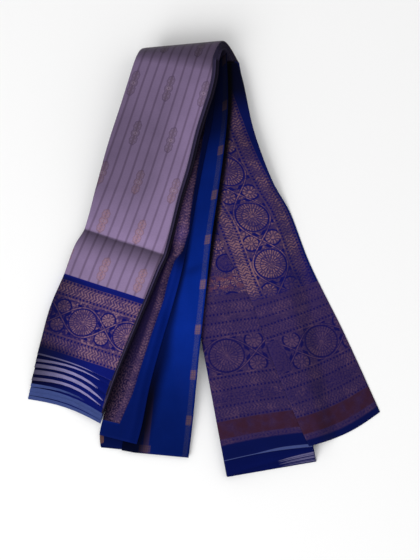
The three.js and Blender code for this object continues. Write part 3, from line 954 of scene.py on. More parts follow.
@dataclass
class Sheet:
    """A piece of cloth: its name, slot and solids, its cut in metres and what it rests on."""

    name: str
    slot: str
    nodes: Sequence[str]
    flat: Pair
    rests_on: Sequence[str]
    material: Material
    held: str = "folded"

    def lay_out(self, stations: Sequence[Station], rows: int, lay: Lay) -> bpy.types.Object:
        """Lays a grid of cloth.

        Args:
            stations: The places across.
            rows: How many cells it has along.
            lay: Gives the spot of a station at a share of the length.

        Returns:
            The piece, still without thickness.
        """
        mesh = bmesh.new()
        columns = len(stations) - 1
        bmesh.ops.create_grid(mesh, x_segments=columns, y_segments=rows, size=0.5)
        uv = mesh.loops.layers.uv.new("cloth")
        spots: dict[int, Spot] = {}
        for vertex in mesh.verts:
            column = round((vertex.co.x + 0.5) * columns)
            spots[vertex.index] = lay(stations[column], 0.5 - vertex.co.y)
        marks = sorted({mark for spot in spots.values() for mark in spot.marks})
        layers = {mark: mesh.verts.layers.float.new(mark) for mark in marks}
        for vertex in mesh.verts:
            spot = spots[vertex.index]
            vertex.co = spot.place * MM
            for mark, layer in layers.items():
                vertex[layer] = spot.marks[mark]
        for face in mesh.faces:
            face.smooth = True
            for loop in face.loops:
                spot = spots[loop.vert.index]
                loop[uv].uv = (spot.across * MM, spot.along * MM)
        data = bpy.data.meshes.new(self.name)
        mesh.to_mesh(data)
        mesh.free()
        return add(self.name, data)

    def dress(self, piece: bpy.types.Object, wall: float, offset: float) -> None:
        """Gives a piece its thickness, its material and its place in the frame.

        Args:
            piece: The piece.
            wall: The cloth's thickness.
            offset: -1 to thicken it downwards from its points, 0 to both sides.
        """
        thicken = piece.modifiers.new("wall", "SOLIDIFY")
        thicken.thickness = wall * MM
        thicken.offset = offset
        thicken.use_even_offset = False
        piece.data.materials.append(self.material)
        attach(piece, "root")
        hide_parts(*self.nodes)
        LOG.info("%s: %d faces, cut %.2f by %.2f m", piece.name, len(piece.data.polygons), *self.flat)

    def shell(self, cells: int, rows: int, lay: Lay) -> None:
        """Makes a single stretch of cloth, with this many cells across."""
        stations = [Station(step / cells) for step in range(cells + 1)]
        self.dress(self.lay_out(stations, rows, lay), SHELL_WALL, -1)

    def pile(self, stations: Sequence[Station], rows: int, lay: Lay) -> None:
        """Makes a stretch that is folded to and fro."""
        self.dress(self.lay_out(stations, rows, lay), FOLD_WALL, 0)


@dataclass
class FrontLeg:
    """The front leg and the bend: the outer pleat over the pile of the others."""

    layers: int = 20
    seed: int = 4
    crease_along: float = 284.0
    crease_depth: float = 6.2
    crease_above: float = 20.0
    crease_below: float = 24.0
    crease_left: float = 252.0
    crease_right: float = 298.0
    bend_share: float = 0.16
    turn: float = 0.56
    extra_bow: float = 3.0
    leg_width: float = 126.0
    four_stripes: float = 56.0
    slant_about: float = 54.0
    border_at: float = 357.3
    bend_stretch: float = 1.09
    lift_turn: Pair = (0.35, 0.78)
    shift_fade: float = 0.6
    hem_jitter: float = 0.7
    side_jitter: float = 0.8
    fold_at: float = 291.0
    fold_width: float = 5.0
    fold_height: float = 0.5
    # Each layer's hem, from the outer pleat down: its place along the left and right edge, and its bow
    hems: Table = (
        (452, 503, 4), (462, 511, 5), (471, 525, 7), (481, 536, 8), (491, 545, 8), (500, 551, 6),
        (507, 557, 5), (513, 563, 4), (519, 569, 3),
    )
    # How deep each layer's sliver is at the left and half way, where across it ends, and how blue it is
    slivers: Table = (
        (3.8, 2.3, 0.82, 0.0), (4.7, 3.3, 0.86, 0.0), (6.0, 4.6, 0.95, 0.0), (4.0, 3.3, 0.93, 0.0),
        (3.8, 1.2, 0.75, 1.0), (5.6, 3.4, 3.0, 1.0), (5.2, 6.6, 3.0, 1.0), (5.2, 5.2, 3.0, 1.0),
    )
    own_sliver: Triple = (2.6, 1.8, 0.76)
    # Painted light and shade on the leg, by the distance past the border's start, and then by the share
    # across:
    # the border, the layers at the hem and the slivers there
    painted_light_down: Table = (
        (-450, 0.30), (-366, 0.36), (-356, 0.50), (-346, 0.75), (-322, 0.76), (-292, 0.69), (-250, 0.635),
        (-200, 0.625), (-150, 0.70), (-115, 0.92), (-90, 1.08), (-77, 1.14), (-74.5, 0.34), (-69, 0.46),
        (-60, 0.62), (-50, 0.80), (-40, 0.98), (-28, 1.10), (0, 1.12),
    )
    painted_light_border: Table = ((0, 0.38), (0.12, 0.54), (0.3, 0.82), (0.55, 1.0), (1, 1.0))
    painted_light_hem: Table = ((0, 0.14), (0.1, 0.22), (0.3, 0.4), (0.5, 0.75), (0.7, 1.0), (1, 1.0))
    painted_light_sliver: Table = ((0, 0.2), (0.11, 0.36), (0.3, 0.62), (0.5, 0.95), (1, 1.05))
    # Painted light and shade on the pile's right folds, group by group from the top: above the crease and
    # below
    painted_light_folds: Table = (
        (0.85, 0.62), (0.70, 0.22), (0.85, 1.35), (0.60, 1.10), (0.18, 0.30), (0.12, 0.45), (0.10, 0.18),
        (0.10, 0.12),
    )
    # The leg's underside: distance from the crest, and its height at the left and at the right
    lift: Table = (
        (0, 44.5, 44.5), (30, 43, 43), (70, 38, 39), (120, 30, 34), (170, 20, 29), (210, 12, 26.5),
        (250, 6, 23.5), (290, 2, 19), (340, 0, 12.5), (400, 0, 8.5), (460, 0, 7.5), (640, 0, 7.5),
    )
    # The stripe through the middle motifs: distance down the leg, place across, the width of four stripes,
    # the slant of the rows of motifs and how far they come before their even pitch
    stripes: Table = (
        (0, 57.2, 50.0, 0.17, 4.5), (46, 57.1, 51.8, 0.17, 4.5), (118, 57.1, 53.3, 0.116, 7.5),
        (192, 56.4, 54.8, 0.067, 5.0), (264, 53.0, 57, -0.008, 3.0), (333, 46.6, 58, 0.0, -1.5),
        (480, 38.5, 58, 0.0, 0.0),
    )

    def under(self, point: Vector) -> float:
        """Returns the height of the leg's underside at a place in plan.

        Args:
            point: A place in plan.

        Returns:
            The height.
        """
        across = (point - LEG_DATUM).dot(LEG_RIGHT) / self.leg_width
        distance = -(point - CREST).dot(ACROSS)
        left = read(self.lift, distance, 1)
        right = read(self.lift, distance, 2)
        return blend(left, right, smooth(*self.lift_turn, across))

    def crease(self, point: Vector) -> float:
        """Returns how much of its full height the pile has near the crease.

        Args:
            point: A place in plan.

        Returns:
            A share of the height, 1 away from the crease.
        """
        along = (point - LEG_DATUM).dot(LEG_DOWN) - self.crease_along
        width = self.crease_above if along < 0 else self.crease_below
        near = max(0.0, 1 - abs(along) / width)
        return 1 - (self.crease_depth / (FRONT_LAYERS * PITCH)) * near * near

    def plan(self, share: float, u: float, hem: Triple, shift: float) -> Vector:
        """Returns a point of a layer in plan.

        Args:
            share: The share of the way from the crest to the hem.
            u: The share of the width.
            hem: The layer's hem: how far down each edge, and its bow.
            shift: How far the layer stands to the right.

        Returns:
            The point, at no height.
        """
        if share < self.turn:
            part = 0.0
            left = blend(0, self.crease_left, share / self.turn)
            right = blend(0, self.crease_right, share / self.turn)
        else:
            part = (share - self.turn) / (1 - self.turn)
            left = blend(self.crease_left, hem[0], part)
            right = blend(self.crease_right, hem[1], part)
        start = FRONT_LEFT.at(left)
        side = FRONT_RIGHT.at(right) - start
        fade = 1 - self.shift_fade * (left / self.hems[-1][0])
        bow = hem[2] * part * part * math.sin(math.pi * u)
        return start + side * u + side.normalized() * shift * fade - LEG_DOWN * bow

    def bend(self, turn: float, radius: float, along: float) -> Vector:
        """Returns a point in the bend at a turn from the crest, a radius and a distance along the axis."""
        flat = CREST + AXIS * (along + BEND_ASKEW * radius * turn) + ACROSS * radius * math.sin(turn)
        return flat + UP * (BEND_RADIUS + radius * math.cos(turn))

    def weave(self, point: Vector) -> tuple[float, float]:
        """Returns where a point of the leg's face is on the cloth: across, and past the border's start.

        Args:
            point: A place in plan.

        Returns:
            The distance across the stripes, and the distance past the border's start.
        """
        s = (point - LEG_DATUM).dot(LEG_DOWN)
        w = (point - LEG_DATUM).dot(LEG_RIGHT)
        middle, width, slant, early = (read(self.stripes, s, column) for column in (1, 2, 3, 4))
        across = (w - middle) / width * self.four_stripes
        return across, s + slant * (w - self.slant_about) - self.border_at - early

    def shine(self, across: float, past: float, u: float) -> dict[str, float]:
        """Returns the painted light and shade of the silk and the painted highlight of its metal thread at a
        place on the leg.

        Args:
            across: The distance across the stripes.
            past: The distance past the border's start.
            u: The share of the width.

        Returns:
            The marks for both.
        """
        down = read(self.painted_light_down, past)
        # Painted light and shade: the right part of the upper leg lighter, its left edge a little darker,
        # then the border's and hem's own by the share across.
        right = smooth(0.5, 0.95, u) * smooth(-372, -250, past) * smooth(-70, -160, past)
        border = blend(read(self.painted_light_border, u), read(self.painted_light_hem, u), smooth(96, 116, past))
        glow = blend(down * (1 + 0.56 * right - 0.1 * smooth(0.3, 0, u)), border, smooth(-2, 6, past))
        # The metal thread gets a painted highlight that grows towards the right and up the border.
        return {"glow": glow, "zari": 0.6 + 0.4 * smooth(-86, -30, across - 0.6 * past)}

    def outer_lay(self, station: Station, share: float) -> Spot:
        """Gives the outer pleat's spots: the bend first, then the leg.

        Args:
            station: The place across.
            share: The share of the length.

        Returns:
            The spot.
        """
        u = station.u
        roll = rounding(u)
        if share < self.bend_share:
            turn = math.pi * (1 - share / self.bend_share)
            place = self.bend(turn, BEND_RADIUS - roll, u * CREST_WIDTH)
            across, along = self.weave(self.plan(0, u, self.hems[0], 0))
            along -= BEND_RADIUS * turn * self.bend_stretch
            marks = {"up": FAR_FROM_HEM, "pale": 0.0, **self.shine(across, along, u)}
            # Painted shade over the bend, darker as it turns away from the light.
            marks["glow"] *= blend(1, 0.5, smooth(0.6, 1.6, turn))
            return Spot(place, across, along, marks)
        part = (share - self.bend_share) / (1 - self.bend_share)
        place = self.plan(part, u, self.hems[0], 0)
        across, along = self.weave(place)
        top = FRONT_LAYERS * PITCH * self.crease(place) + SEAM + SHEET
        down = (place - LEG_DATUM).dot(LEG_DOWN)
        calm = smooth(0, 90, -(place - CREST).dot(ACROSS))
        wrinkle = 0.5 * ripple(place, 55, 1.0) + 0.22 * ripple(place, 17, 2.0)
        beside = (down - self.fold_at) / self.fold_width
        fold = self.fold_height * math.exp(-(beside**2)) * ripple(place, 22, 5.0)
        place.z = self.under(place) + top - roll + calm * (min(0.0, wrinkle) + fold - 0.1)
        left, middle, end = self.own_sliver
        pale = blend(left, middle, min(1.0, u * 2)) * max(0.0, 1 - (u / end) ** 6)
        marks = {"up": self.up(part, u, self.hems[0]), "pale": pale, **self.shine(across, along, u)}
        return Spot(place, across, along, marks)

    def up(self, share: float, u: float, hem: Triple) -> float:
        """Returns the distance up from a layer's hem, where `share` is as in `plan`.

        Args:
            share: The share of the way from the crest to the hem.
            u: The share of the width.
            hem: The layer's hem: how far down each edge, and its bow.

        Returns:
            The distance.
        """
        if share < self.turn:
            return 200.0
        part = (share - self.turn) / (1 - self.turn)
        return (1 - part) * blend(hem[0] - self.crease_left, hem[1] - self.crease_right, u)

    def outer_pleat(self) -> None:
        """Makes the outer pleat."""
        names = ("outer_pleat_silk", "striped_silk", ["outer_pleat"])
        below = ["folded_pleats", "slipped_pleats"]
        sheet = Sheet(*names, (PLEAT_CUT, 0.56), below, StripedSilk().material())
        sheet.shell(44, 290, self.outer_lay)

    def pile_lay(self, station: Station, share: float) -> Spot:
        """Gives the spots of the folded pleats under the outer one.

        Args:
            station: The place across.
            share: The share of the length.

        Returns:
            The spot.
        """
        depth = (station.level + 0.5) / self.layers
        group = depth * FRONT_LAYERS
        whole = min(FRONT_LAYERS - 1, int(group))
        jitter = self.hem_jitter * math.sin(station.level * 2.4)
        hem = self.hems[whole + 1]
        hem = (hem[0] + jitter, hem[1] + jitter, hem[2] + self.extra_bow)
        shift = FRONT_SHIFT * group + self.side_jitter * math.sin(group * 3.1)
        outset = fold_outset(station)
        # The pile's cloth starts darkened by painted shade.
        marks = pile_marks(station, past=-400.0, glow=0.8)
        if share < self.bend_share:
            turn = math.pi * (1 - share / self.bend_share)
            radius = PILE_RADIUS - depth * FRONT_LAYERS * PITCH
            along = station.u * CREST_WIDTH + outset + shift * (1 - 0.4 * turn / math.pi)
            place = self.bend(turn, radius, along)
            # Painted shade inside the bend, darker as it turns away.
            marks["glow"] = blend(0.62, 0.36, smooth(0.4, 1.3, turn))
            return Spot(place, station.u * PLEAT_WIDTH, BEND_FROM_HEM, marks)
        part = (share - self.bend_share) / (1 - self.bend_share)
        place = self.plan(part, station.u, hem, shift + outset)
        past = self.weave(place)[1]
        full = FRONT_LAYERS * PITCH * self.crease(place)
        place.z = self.under(place) + full * (1 - depth)
        left, middle, end, tint = self.slivers[whole]
        pale = blend(left, middle, min(1.0, station.u * 2)) * max(0.0, 1 - (station.u / end) ** 6)
        # Painted shade on the slivers, darker towards the left, except on the blue ones.
        light = blend(read(self.painted_light_sliver, station.u), 1.0, tint)
        marks.update({"pale": pale, "tint": tint, "light": light})
        # Painted light and shade: on the right folds group by group, and on the layers darker past the border
        # towards the hem.
        if station.u > 0.98:
            above, below = self.painted_light_folds[whole]
            marks["glow"] = blend(above, below, smooth(-90, -60, past))
        else:
            hem_painted_light = 0.35 * read(self.painted_light_hem, station.u)
            marks.update({"past": past, "glow": blend(1.0, hem_painted_light, smooth(20, 90, past))})
        return Spot(place, station.u * PLEAT_WIDTH, self.up(part, station.u, hem), marks)

    def folded_pleats(self) -> None:
        """Makes the folded pleats of the front leg and the bend."""
        # The pile's cloth above the border is coloured dark violet, not lavender: painted shade on its side
        # folds.
        finish = PleatEdges("pleat_edges", (0.044, 0.034, 0.080), (0.004, 0.014, 0.300))
        names = ("folded_pleats", "layered_silk", ["front_layers", "bend_layers"])
        below = ["back_pleats", "slipped_pleats"]
        sheet = Sheet(*names, (PLEAT_CUT * self.layers, 0.60), below, finish.material())
        sheet.pile(zigzag(self.layers, 8, 0.35, random.Random(self.seed)), 120, self.pile_lay)


@dataclass
class BackLeg:
    """The back leg: its pile of folded pleats, and the two pallu panels over it."""

    layers: int = 22
    seed: int = 9
    groups: int = 7
    right_steps: float = 13.5
    left_steps: float = 2.0
    hem_jitter: float = 0.5
    shift_fade: float = 0.8
    pale_share: float = 0.42
    fan_drop: Pair = (3.0, 36.0)
    # How deep the sliver of each group of layers is, and the left panel's hem: how short, and its bow
    slivers: Sequence[float] = (2.0, 1.4, 0.5, 1.6, 0.5, 1.2, 0.0)
    panel_short: Triple = (24, 23, 3)
    # Painted light and shade on the pallu, darkest under the bend, by the distance up from its hem
    painted_light_up: Table = (
        (0, 0.85), (60, 0.9), (150, 1.0), (240, 1.05), (300, 1.1), (420, 1.0), (450, 0.85), (500, 0.5),
        (535, 0.2), (560, 0.06), (640, 0.04),
    )
    # How wide the plain strip along the pallu's right outline is, by the distance up from its hem
    strip: Table = (
        (380, 3.5), (411, 4), (446, 7.5), (481, 10), (506, 12), (560, 20), (640, 34),
    )
    fan_bow: float = -7.0
    # Where the painted highlight on the metal thread lies, how far it reaches and which way is down.
    painted_gleam_size: Pair = (95, 34)
    painted_gleam_at: Vector = field(default_factory=lambda: Vector((72, -20, 0)))
    painted_gleam_down: Vector = field(default_factory=lambda: Vector((0.43, -0.9, 0)).normalized())

    def plan(self, share: float, u: float, hem: Triple, shift: float) -> Vector:
        """Returns a point of a layer in plan, as on the front leg.

        Args:
            share: The share of the way down to the hem.
            u: The share of the width.
            hem: The layer's hem: how far down each edge, and its bow.
            shift: How far the layer stands to the right.

        Returns:
            The point, at no height.
        """
        start = BACK_LEFT.at(hem[0] * share)
        side = BACK_RIGHT.at(hem[1] * share) - start
        bow = hem[2] * share**4 * math.sin(math.pi * u)
        return start + side * u + side.normalized() * shift * (1 - self.shift_fade * share) - BACK_DOWN * bow

    def pile_lay(self, station: Station, share: float) -> Spot:
        """Gives the spots of the folded pleats.

        Args:
            station: The place across.
            share: The share of the length.

        Returns:
            The spot.
        """
        depth = (station.level + 0.5) / self.layers
        group = math.floor(depth * self.groups)
        short = 1 - min(1.0, group / (self.groups - 1))
        jitter = self.hem_jitter * math.sin(station.level * 2.1)
        left = BACK_LEFT.length - self.left_steps * short
        right = BACK_RIGHT.length - self.right_steps * short + jitter
        shift = BACK_SHIFT * depth * BACK_LAYERS + fold_outset(station)
        place = self.plan(share, station.u, (left, right, 2 * short), shift)
        place.z = BACK_HEIGHT * (1 - depth)
        up = (1 - share) * blend(left, right, station.u)
        inward = (1 - station.u) / self.pale_share
        pale = self.slivers[min(self.groups - 1, group)] * max(0.0, 1 - inward**3)
        # Painted shade on the back pile, and on its slivers, darker to the left.
        marks = pile_marks(station, pale=pale, tint=0.25, glow=0.5, light=0.45 + 0.25 * station.u)
        return Spot(place, station.u * PLEAT_WIDTH, up, marks)

    def folded_pleats(self) -> None:
        """Makes the folded pleats."""
        finish = PleatEdges("blue_pleat_edges", (0.050, 0.042, 0.078), (0.002, 0.008, 0.130))
        names = ("back_pleats", "blue_silk", ["back_layers"])
        sheet = Sheet(*names, (PLEAT_CUT * self.layers, 0.605), ["floor"], finish.material())
        sheet.pile(zigzag(self.layers, 7, 0.35, random.Random(self.seed)), 90, self.pile_lay)

    def gap(self, point: Vector) -> float:
        """Returns the painted shadow on the pallu beside the raised edge of the blue pleat.

        Args:
            point: A place in plan.

        Returns:
            A factor, 1 where no shadow is painted.
        """
        beside = point.x - across_at(BLUE_RIGHT.rows[::-1], point.y)
        open_to = smooth(-15, -95, point.y)
        reach = blend(9.0, 4.0, smooth(60, -60, point.y))
        return blend(0.05 + 0.5 * open_to, 1.0, smooth(0.45 * reach, reach * 1.2, beside))

    def painted_gleam(self, point: Vector) -> float:
        """Returns the painted highlight on the metal thread: most where the panels meet, least along the
        outline.
        """
        along = (point - self.painted_gleam_at).dot(self.painted_gleam_down) / self.painted_gleam_size[0]
        aside = (point - self.painted_gleam_at).cross(self.painted_gleam_down).z / self.painted_gleam_size[1]
        return 0.84 + 0.42 * math.exp(-along * along - aside * aside)

    def panel_lay(self, station: Station, share: float) -> Spot:
        """Gives the spots of the left pallu panel.

        Args:
            station: The place across.
            share: The share of the length.

        Returns:
            The spot.
        """
        left, right, bow = self.panel_short
        hem = (BACK_LEFT.length - left, BACK_RIGHT.length - right, bow)
        place = self.plan(share, station.u, hem, 0)
        place.z = PALLU_UNDER + SHEET - rounding(station.u) + min(0.0, 0.35 * ripple(place, 45, 3.0))
        up = (1 - share) * hem[0]
        pale = blend(1.1, 4.6, smooth(0.3, 0.72, station.u))
        # Painted light and shade up the pallu, the painted shadow beside the blue pleat, and the painted
        # highlight of the metal thread.
        marks = {"glow": read(self.painted_light_up, up) * self.gap(place), "pale": pale, "zari": self.painted_gleam(place)}
        return Spot(place, station.u * PLEAT_CUT / MM, up, marks)

    def panel(self) -> None:
        """Makes the left pallu panel."""
        finish = PalluBrocade("left_pallu", 23.0, 245.0, 0.0, 10.3, 82.0, inside=True)
        names = ("left_pallu_panel", "brocade", ["pallu_panel"])
        sheet = Sheet(*names, (PLEAT_CUT, 0.58), ["back_pleats"], finish.material())
        sheet.shell(60, 140, self.panel_lay)

    def fan_under(self, point: Vector) -> float:
        """Returns the height of what lies under the right pallu panel."""
        outside = (point - BACK_FOOT_RIGHT).dot(BACK_OUT_RIGHT)
        return PALLU_OVER * (1 - smooth(*self.fan_drop, outside))

    def fan_lay(self, station: Station, share: float) -> Spot:
        """Gives the spots of the right pallu panel.

        Args:
            station: The place across.
            share: The share of the length.

        Returns:
            The spot.
        """
        u = station.u
        left = FAN_LEFT.at(FAN_LEFT.length * share)
        right = FAN_RIGHT.at(FAN_RIGHT.length * share)
        down = (FAN_RIGHT.at(FAN_RIGHT.length) - FAN_RIGHT.at(FAN_RIGHT.length * 0.9)).normalized()
        place = left.lerp(right, u) - down * self.fan_bow * share**4 * math.sin(math.pi * u)
        place.z = self.fan_under(place) + SHEET - rounding(u) + 0.25 * ripple(place, 50, 6.0) + 0.1
        up = (1 - share) * FAN_LEFT.length
        across = (1 - u) * (right - left).length - read(self.strip, up)
        # Painted highlight near the bend on the right, painted light and shade up the panel, the painted
        # shadow beside the blue pleat, and the painted highlight of the metal thread, dimmed below the turn.
        painted_highlight = 1 + 1.4 * smooth(0.45, 0.85, u) * smooth(470, 535, up)
        glow = read(self.painted_light_up, up) * (1 - 0.12 * u * smooth(260, 60, up)) * self.gap(place) * painted_highlight
        zari = self.painted_gleam(place) * blend(0.5, 1, smooth(232, 250 + 60 * u, up))
        return Spot(place, across, up, {"glow": glow, "pale": 0.0, "zari": zari})

    def fan(self) -> None:
        """Makes the right pallu panel."""
        finish = PalluBrocade("right_pallu", 10.0, 230.5, -5.0, 7.8, 81.0)
        names = ("right_pallu_panel", "brocade", ["pallu_fan"])
        sheet = Sheet(*names, (0.10, 0.59), ["left_pallu_panel", "floor"], finish.material())
        sheet.shell(60, 150, self.fan_lay)


@dataclass
class SlippedPleats:
    """The blue pleats that have slipped out between the legs."""

    layers: int = 7
    layer_cut: float = 0.085
    width: float = 100.0
    seed: int = 3
    rise: float = 12.0
    rise_from: float = 95.0
    fall: Pair = (8.0, 54.0)
    fold_inset: float = 0.6
    # How far the hems fall short at the left edge, the valley and the right edge
    bordered_short: Triple = (19, 13, 0)
    blue_short: Triple = (2, 0, 0)
    # The height of the ridge beside the valley, by the distance down from the bend
    ridge: Table = ((0, 0), (90, 1), (170, 3.5), (270, 6.5), (400, 7), (600, 4))
    ridge_start: float = 0.55
    tuck: float = 0.375
    # A patch of painted shade on the blue pleat, where a soft fold would lie: its size, slope and place.
    painted_dent_shade_size: Pair = (16, 7)
    painted_dent_shade_slope: float = 0.35
    painted_dent_shade: Vector = field(default_factory=lambda: Vector((-16, -18, 0)))
    # Painted light and shade on the blue silk, darkest under the bend, by the distance up from its hem
    painted_light_up: Table = (
        (0, 0.44), (44, 0.48), (90, 0.58), (150, 0.93), (195, 1.10), (240, 1.08), (300, 0.93), (376, 0.66),
        (436, 0.60), (470, 0.42), (500, 0.18), (540, 0.06), (640, 0.04),
    )
    # The painted shade in the valley beside the ridge: how dark, and how far it reaches, by the distance up
    # from the hem
    valley: Table = (
        (0, 0.15, 18), (44, 0.06, 22), (90, 0.06, 25), (150, 0.22, 28), (195, 0.28, 17), (240, 0.22, 11),
        (300, 0.20, 9), (340, 0.45, 7), (400, 1.0, 6),
    )
    # Painted highlight and shade on the woven border's metal thread, by the distance up from its hem
    painted_zari_up: Table = (
        (0, 0.95), (100, 1.0), (200, 1.0), (280, 0.72), (306, 0.95), (326, 1.9), (345, 1.2), (380, 0.85),
        (420, 0.45), (480, 0.12), (640, 0.05),
    )

    def under(self, point: Vector) -> float:
        """Returns the height of what lies under the pleats.

        Args:
            point: A place in plan.

        Returns:
            The height.
        """
        outside = (point - BACK_LEFT.at(0)).dot(BACK_OUT_LEFT)
        resting = DRAPE_UNDER * (1 - smooth(*self.fall, outside))
        distance = -(point - CREST).dot(ACROSS)
        return resting + self.rise * (1 - smooth(0, self.rise_from, distance))

    def plan(self, share: float, across: float, short: Triple) -> Vector:
        """Returns a point in plan.

        Args:
            share: The share of the way down to the hem.
            across: -1 at the left edge, 0 at the valley and 1 at the right edge.
            short: How far the hem falls short at those three.

        Returns:
            The point, at no height.
        """
        middle = VALLEY.at((VALLEY.length - short[1]) * share)
        if across <= 0:
            return middle.lerp(DRAPE_LEFT.at((DRAPE_LEFT.length - short[0]) * share), -across)
        return middle.lerp(BLUE_RIGHT.at((BLUE_RIGHT.length - short[2]) * share), across)

    def pile_lay(self, station: Station, share: float) -> Spot:
        """Gives the spots of the pile's layers.

        Args:
            station: The place across.
            share: The share of the length.

        Returns:
            The spot.
        """
        depth = (station.level + 0.5) / self.layers
        short = (4 * (1 - depth), 1 + 2 * depth, 2 + depth)
        place = self.plan(share, station.u * 2 - 1, short)
        if station.u in (0, 1):
            place += LEG_RIGHT * fold_outset(Station(station.u, station.outset - self.fold_inset))
        place.z = self.under(place) + (DRAPE_LAYERS * PITCH - SEAM) * (1 - depth)
        up = (1 - share) * VALLEY.length
        corner = smooth(0.09, 0.04, station.u) * smooth(20, 14, up) * smooth(3, 6, up)
        # Painted light and shade on the pile, darker than the blue pleat's.
        marks = pile_marks(station, past=blend(100, -100, corner), glow=read(self.painted_light_up, up) * 0.7)
        return Spot(place, station.u * self.width, up, marks)

    def pile(self) -> None:
        """Makes the pile."""
        finish = PleatEdges("slipped_edges", (0.300, 0.150, 0.160), (0.001, 0.012, 0.165))
        names = ("slipped_pleats", "blue_silk", ["drape_layers"])
        below = ["left_pallu_panel", "right_pallu_panel", "floor"]
        sheet = Sheet(*names, (self.layer_cut * self.layers, 0.59), below, finish.material())
        sheet.pile(zigzag(self.layers, 14, 0.3, random.Random(self.seed)), 110, self.pile_lay)

    def bordered_lay(self, station: Station, share: float) -> Spot:
        """Gives the spots of the bordered pleat.

        Args:
            station: The place across.
            share: The share of the length.

        Returns:
            The spot.
        """
        place = self.plan(share, station.u - 1, self.bordered_short)
        over = DRAPE_LAYERS * PITCH + SHEET * 2 + SEAM
        bump = min(1.0, max(0.0, (station.u - self.ridge_start) / (1 - self.ridge_start)))
        height = read(self.ridge, VALLEY.length * share) * math.sin(math.pi * bump) ** 2
        across = (across_at(BROCADE_RIGHT, place.y) - place.x) * LEG_SLANT[1]
        place.z = self.under(place) + over + height
        up = (1 - share) * DRAPE_LEFT.length
        # Painted shade: the metal thread darkens towards the front leg; `ridge` is the painted shade on the
        # slope down into the valley and near the top, over the painted light and shade along the pleat.
        zari = read(self.painted_zari_up, up) * blend(1, 0.22, smooth(9, 27, across))
        beside = (VALLEY.at((VALLEY.length - self.bordered_short[1]) * share) - place).length
        reach = blend(7, 15, smooth(320, 370, up))
        ridge = blend(0.25, 1, smooth(0.2 * reach - 1.4, reach, beside)) * blend(1, 0.3, smooth(262, 300, up))
        woven = smooth(0, 1, across) * smooth(23, 25, up)
        glow = blend(0.85 * ridge * read(self.painted_light_up, up) ** 0.7, 1.0, woven)
        return Spot(place, across, up, {"zari": zari, "glow": glow})

    def bordered(self) -> None:
        """Makes the pleat with the woven border."""
        names = ("bordered_pleat_silk", "brocade", ["bordered_pleat"])
        below = ["blue_pleat_silk", "slipped_pleats"]
        sheet = Sheet(*names, (0.05, 0.57), below, BorderedSilk().material())
        sheet.shell(32, 150, self.bordered_lay)

    def blue_lay(self, station: Station, share: float) -> Spot:
        """Gives the spots of the blue pleat.

        Args:
            station: The place across.
            share: The share of the length.

        Returns:
            The spot.
        """
        across = blend(-self.tuck, 1, station.u)
        place = self.plan(share, across, self.blue_short)
        aside = (BLUE_RIGHT.at(BLUE_RIGHT.length * share) - place).length
        hidden = (place - VALLEY.at(VALLEY.length * share)).length * (1 if across > 0 else -1)
        up = (1 - share) * BLUE_RIGHT.length
        # Painted light and shade along the pleat, painted shade beside the valley, and a patch of painted
        # shade where a soft fold would lie.
        dark, reach = (read(self.valley, up, column) for column in (1, 2))
        glow = read(self.painted_light_up, up) * blend(dark, 1, smooth(0.2 * reach, reach, hidden))
        away = place - self.painted_dent_shade
        wide, deep = self.painted_dent_shade_size
        rise = away.y - self.painted_dent_shade_slope * away.x
        glow *= 1 - 0.3 * math.exp(-((away.x / wide) ** 2) - (rise / deep) ** 2)
        place.z = self.under(place) + DRAPE_LAYERS * PITCH + SHEET
        return Spot(place, aside, up, {"glow": glow})

    def blue(self) -> None:
        """Makes the plain blue pleat."""
        names = ("blue_pleat_silk", "blue_silk", ["blue_pleat"])
        sheet = Sheet(*names, (0.061, 0.60), ["slipped_pleats"], BlueSilk().material())
        sheet.shell(32, 150, self.blue_lay)


class LightKind(Enum):
    """The studio's lights."""

    KEY = "key"
    FILL = "fill"


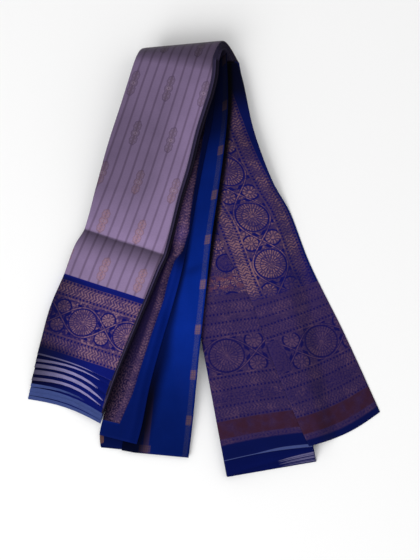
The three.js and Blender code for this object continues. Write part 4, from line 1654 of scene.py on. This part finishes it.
@dataclass
class Studio:
    """The pale floor, the soft lights and the camera."""

    elevation: float = 86.0
    distance: float = 3.0
    view_height: float = 0.84
    sensor: float = 24.0
    floor_half: float = 6.0
    room_light: float = 0.6
    target: Vector = field(default_factory=lambda: Vector((0.009, -0.0315, 0.0)))

    def floor(self) -> None:
        """Lays the floor."""
        mesh = bmesh.new()
        bmesh.ops.create_grid(mesh, x_segments=1, y_segments=1, size=self.floor_half)
        data = bpy.data.meshes.new("floor")
        mesh.to_mesh(data)
        mesh.free()
        floor = add("floor", data)
        kit = Kit("pale_floor")
        inputs = {"Base Color": (0.93, 0.93, 0.93, 1), "Roughness": 0.9}
        shader = kit.node("ShaderNodeBsdfPrincipled", None, inputs)
        kit.node("ShaderNodeOutputMaterial", None, {"Surface": shader.outputs[0]})
        data.materials.append(kit.material)

    def light(self, kind: LightKind, place: Vector, power: float, size: float) -> None:
        """Adds a soft square light that faces the saree.

        Args:
            kind: Which light it is.
            place: Where it stands.
            power: Its power in watts.
            size: Its side.
        """
        data = bpy.data.lights.new(kind.value, "AREA")
        data.energy = power
        data.size = size
        light = add(kind.value, data)
        light.location = place
        light.rotation_euler = (self.target - place).to_track_quat("-Z", "Y").to_euler()

    def camera(self) -> None:
        """Stands the camera nearly straight above, towards the hems."""
        data = bpy.data.cameras.new("camera")
        data.sensor_fit = "VERTICAL"
        data.sensor_height = self.sensor
        data.lens = self.sensor * self.distance / self.view_height
        camera = add("camera", data)
        angle = math.radians(self.elevation)
        away = Vector((0, -math.cos(angle), math.sin(angle)))
        camera.location = self.target + away * self.distance
        camera.rotation_euler = (math.radians(90 - self.elevation), 0, 0)
        bpy.context.scene.camera = camera

    def world(self) -> None:
        """Fills the room with even light."""
        world = bpy.data.worlds.new("room")
        bpy.context.scene.world = world
        world.use_nodes = True
        background = world.node_tree.nodes["Background"]
        background.inputs["Color"].default_value = (1, 1, 1, 1)
        background.inputs["Strength"].default_value = self.room_light

    def build(self) -> None:
        """Sets the studio up."""
        self.camera()
        self.floor()
        self.world()
        self.light(LightKind.KEY, Vector((-1.9, -2.1, 2.3)), 88, 2.6)
        self.light(LightKind.FILL, Vector((0.8, 0.9, 2.4)), 8, 2.0)
        bpy.context.scene.view_settings.view_transform = "Standard"
        LOG.info("studio: camera at %.0f degrees", self.elevation)


def main() -> None:
    """Builds the saree and the studio around it."""
    logging.basicConfig(level=logging.INFO, format="%(name)s: %(message)s")
    Studio().build()
    back = BackLeg()
    back.folded_pleats()
    back.panel()
    back.fan()
    slipped = SlippedPleats()
    slipped.pile()
    slipped.blue()
    slipped.bordered()
    front = FrontLeg()
    front.folded_pleats()
    front.outer_pleat()


if __name__ == "__main__":
    main()
